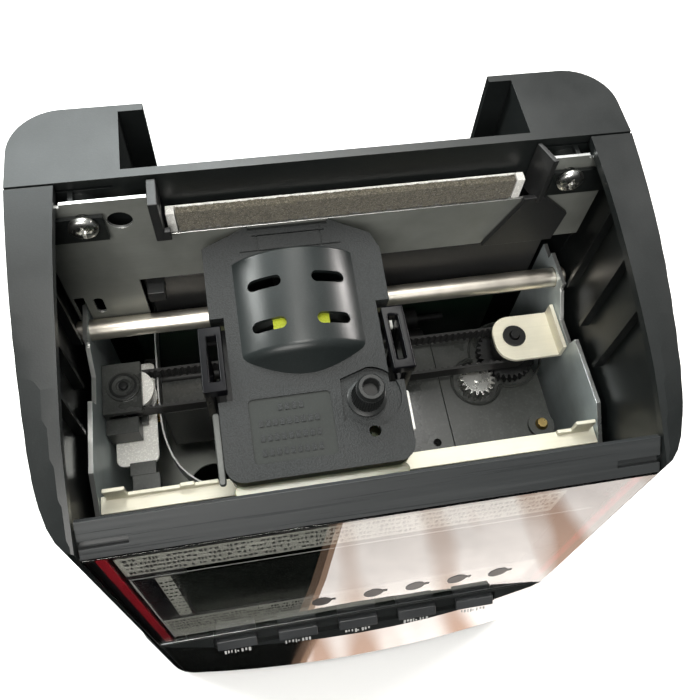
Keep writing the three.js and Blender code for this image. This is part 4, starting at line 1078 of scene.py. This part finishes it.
def timing_belt():
    """The toothed belt: a smooth back, and one tooth for each pitch on the inside."""
    length = 2 * (DRIVE_X - IDLER_X) + 2 * math.pi * BELT_RADIUS
    teeth = round(length / BELT_PITCH)
    steps = []
    for i in range(teeth):
        for share, depth in ((0.0, -0.1), (0.28, -0.1), (0.38, -0.6), (0.72, -0.6), (0.82, -0.1)):
            steps.append((length * (i + share) / teeth, depth))
    belt = Mesh()
    rings = []
    for distance, depth in steps:
        (x, y), out = belt_point(distance)
        ring = []
        for offset, z in ((0.6, -1), (0.6, 1), (depth, 1), (depth, -1)):
            spot = (x + out[0] * offset, y + out[1] * offset, BELT_MIDDLE + z * BELT_HALF_WIDTH)
            ring.append(belt.bm.verts.new(spot))
        rings.append(ring)
    for first, second in zip(rings, rings[1:] + rings[:1]):
        for k in range(4):
            m = (k + 1) % 4
            belt.bm.faces.new([first[k], first[m], second[m], second[k]])
    made = piece("timing_belt_toothed", belt, "rubber_black", sharp=35)
    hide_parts("timing_belt")


def idler_boss():
    """The ring and the pin end on top of the idler block."""
    place = (IDLER_X - 2, BELT_Y, 0)
    boss = Mesh()
    boss.lathe([(3.3, -66.3), (4.2, -66.3), (4.2, -65.9), (3.3, -65.9)], place, "z", 48)
    boss.lathe([(0, -66.6), (1.4, -66.6), (1.4, -65.6), (1.1, -65.4), (0, -65.4)], place, "z", 32)
    piece("idler_boss", boss, "knob_black", bevel=0.1)


def deck_rims():
    """Raised rims on the gear deck round the drive gear and the motor's pinion, cut clear of both."""
    rims = Mesh()
    for inner, outer, x, y, segments in (
        (7.75, 8.6, *PINION, 64),
        (11.6, 12.5, DRIVE_X - 0.2, BELT_Y, 72),
    ):
        section = [(inner, RIM_FOOT), (outer, RIM_FOOT), (outer, RIM_FOOT + 0.6),
                   (outer - 0.4, RIM_FOOT + 0.9), (inner, RIM_FOOT + 0.6)]
        rims.lathe(section, (x, y, 0), "z", segments)
    raised = loose_object(rims)
    for radius, x, y in ((11.5, DRIVE_X, BELT_Y), (7.7, *PINION)):
        sweep = Mesh().lathe([(0, -90), (radius, -90), (radius, -70), (0, -70)], (x, y, 0))
        carve(raised, ("DIFFERENCE", sweep))
    raised.data.transform(TOP)
    finish_piece(raised, "deck_rims", "nylon_grey", "root")


def drive_pieces():
    timing_belt()
    refine("idler_block", 0.35, segments=3, look=MATERIALS["nylon_grey"])
    idler_boss()
    refine("idler_pulley", 0.12)
    refine("drive_gear", 0.06)
    refine("motor_pinion", 0.05)
    refine("motor_bracket", 0.3, segments=3)
    refine("bracket_bush", 0.15)
    groove = Mesh().box((33.0, 33.6), (-57.6, -12.6), (-79.3, -77))
    refine("gear_deck", 0.3, segments=3, cuts=[groove])
    refine("deck_screw", 0.1)
    refine("carriage_motor", 0.4)
    deck_rims()


# ---------------------------------------------------------------- card feed, electrics and small parts

def hidden_pieces():
    for node in ("feed_roller", "pinch_roller", "feed_pinion", "feed_motor", "main_board", "transformer",
                 "battery_pack"):
        refine(node, 0.15)


PLUG_FOOT = -79.2
PLUG_PIN_PITCH = 1.9


def cable_pieces():
    """The flat cable that stands on edge, and a small plug with a row of four pins."""
    refine("head_cable", 0.05)
    plug = Mesh().box((-65.6, -57.4), (-53.4, -47.2), (PLUG_FOOT, PLUG_FOOT + 3))
    plug.box((-66.4, -58.6), (-47.0, -42.8), (PLUG_FOOT, PLUG_FOOT + 1.8))
    piece("cable_plug", plug, "nylon_grey", bevel=0.3)
    pins = Mesh()
    for i in range(4):
        left = -64.4 + i * PLUG_PIN_PITCH
        pins.box((left, left + 0.8), (-53.75, -53.3), (PLUG_FOOT + 0.2, PLUG_FOOT + 2.4))
    piece("plug_pins", pins, "screw_steel", bevel=0.08)


make_camera()
make_light()
make_floor()
make_mirror_cards()
case_pieces()
inlet_pins()
window_pieces()
window_films()
window_print()
key_pieces()
sheet_pieces()
felt_piece()
carriage_pieces()
cassette_pieces()
ribbon_knob()
drive_pieces()
hidden_pieces()
cable_pieces()
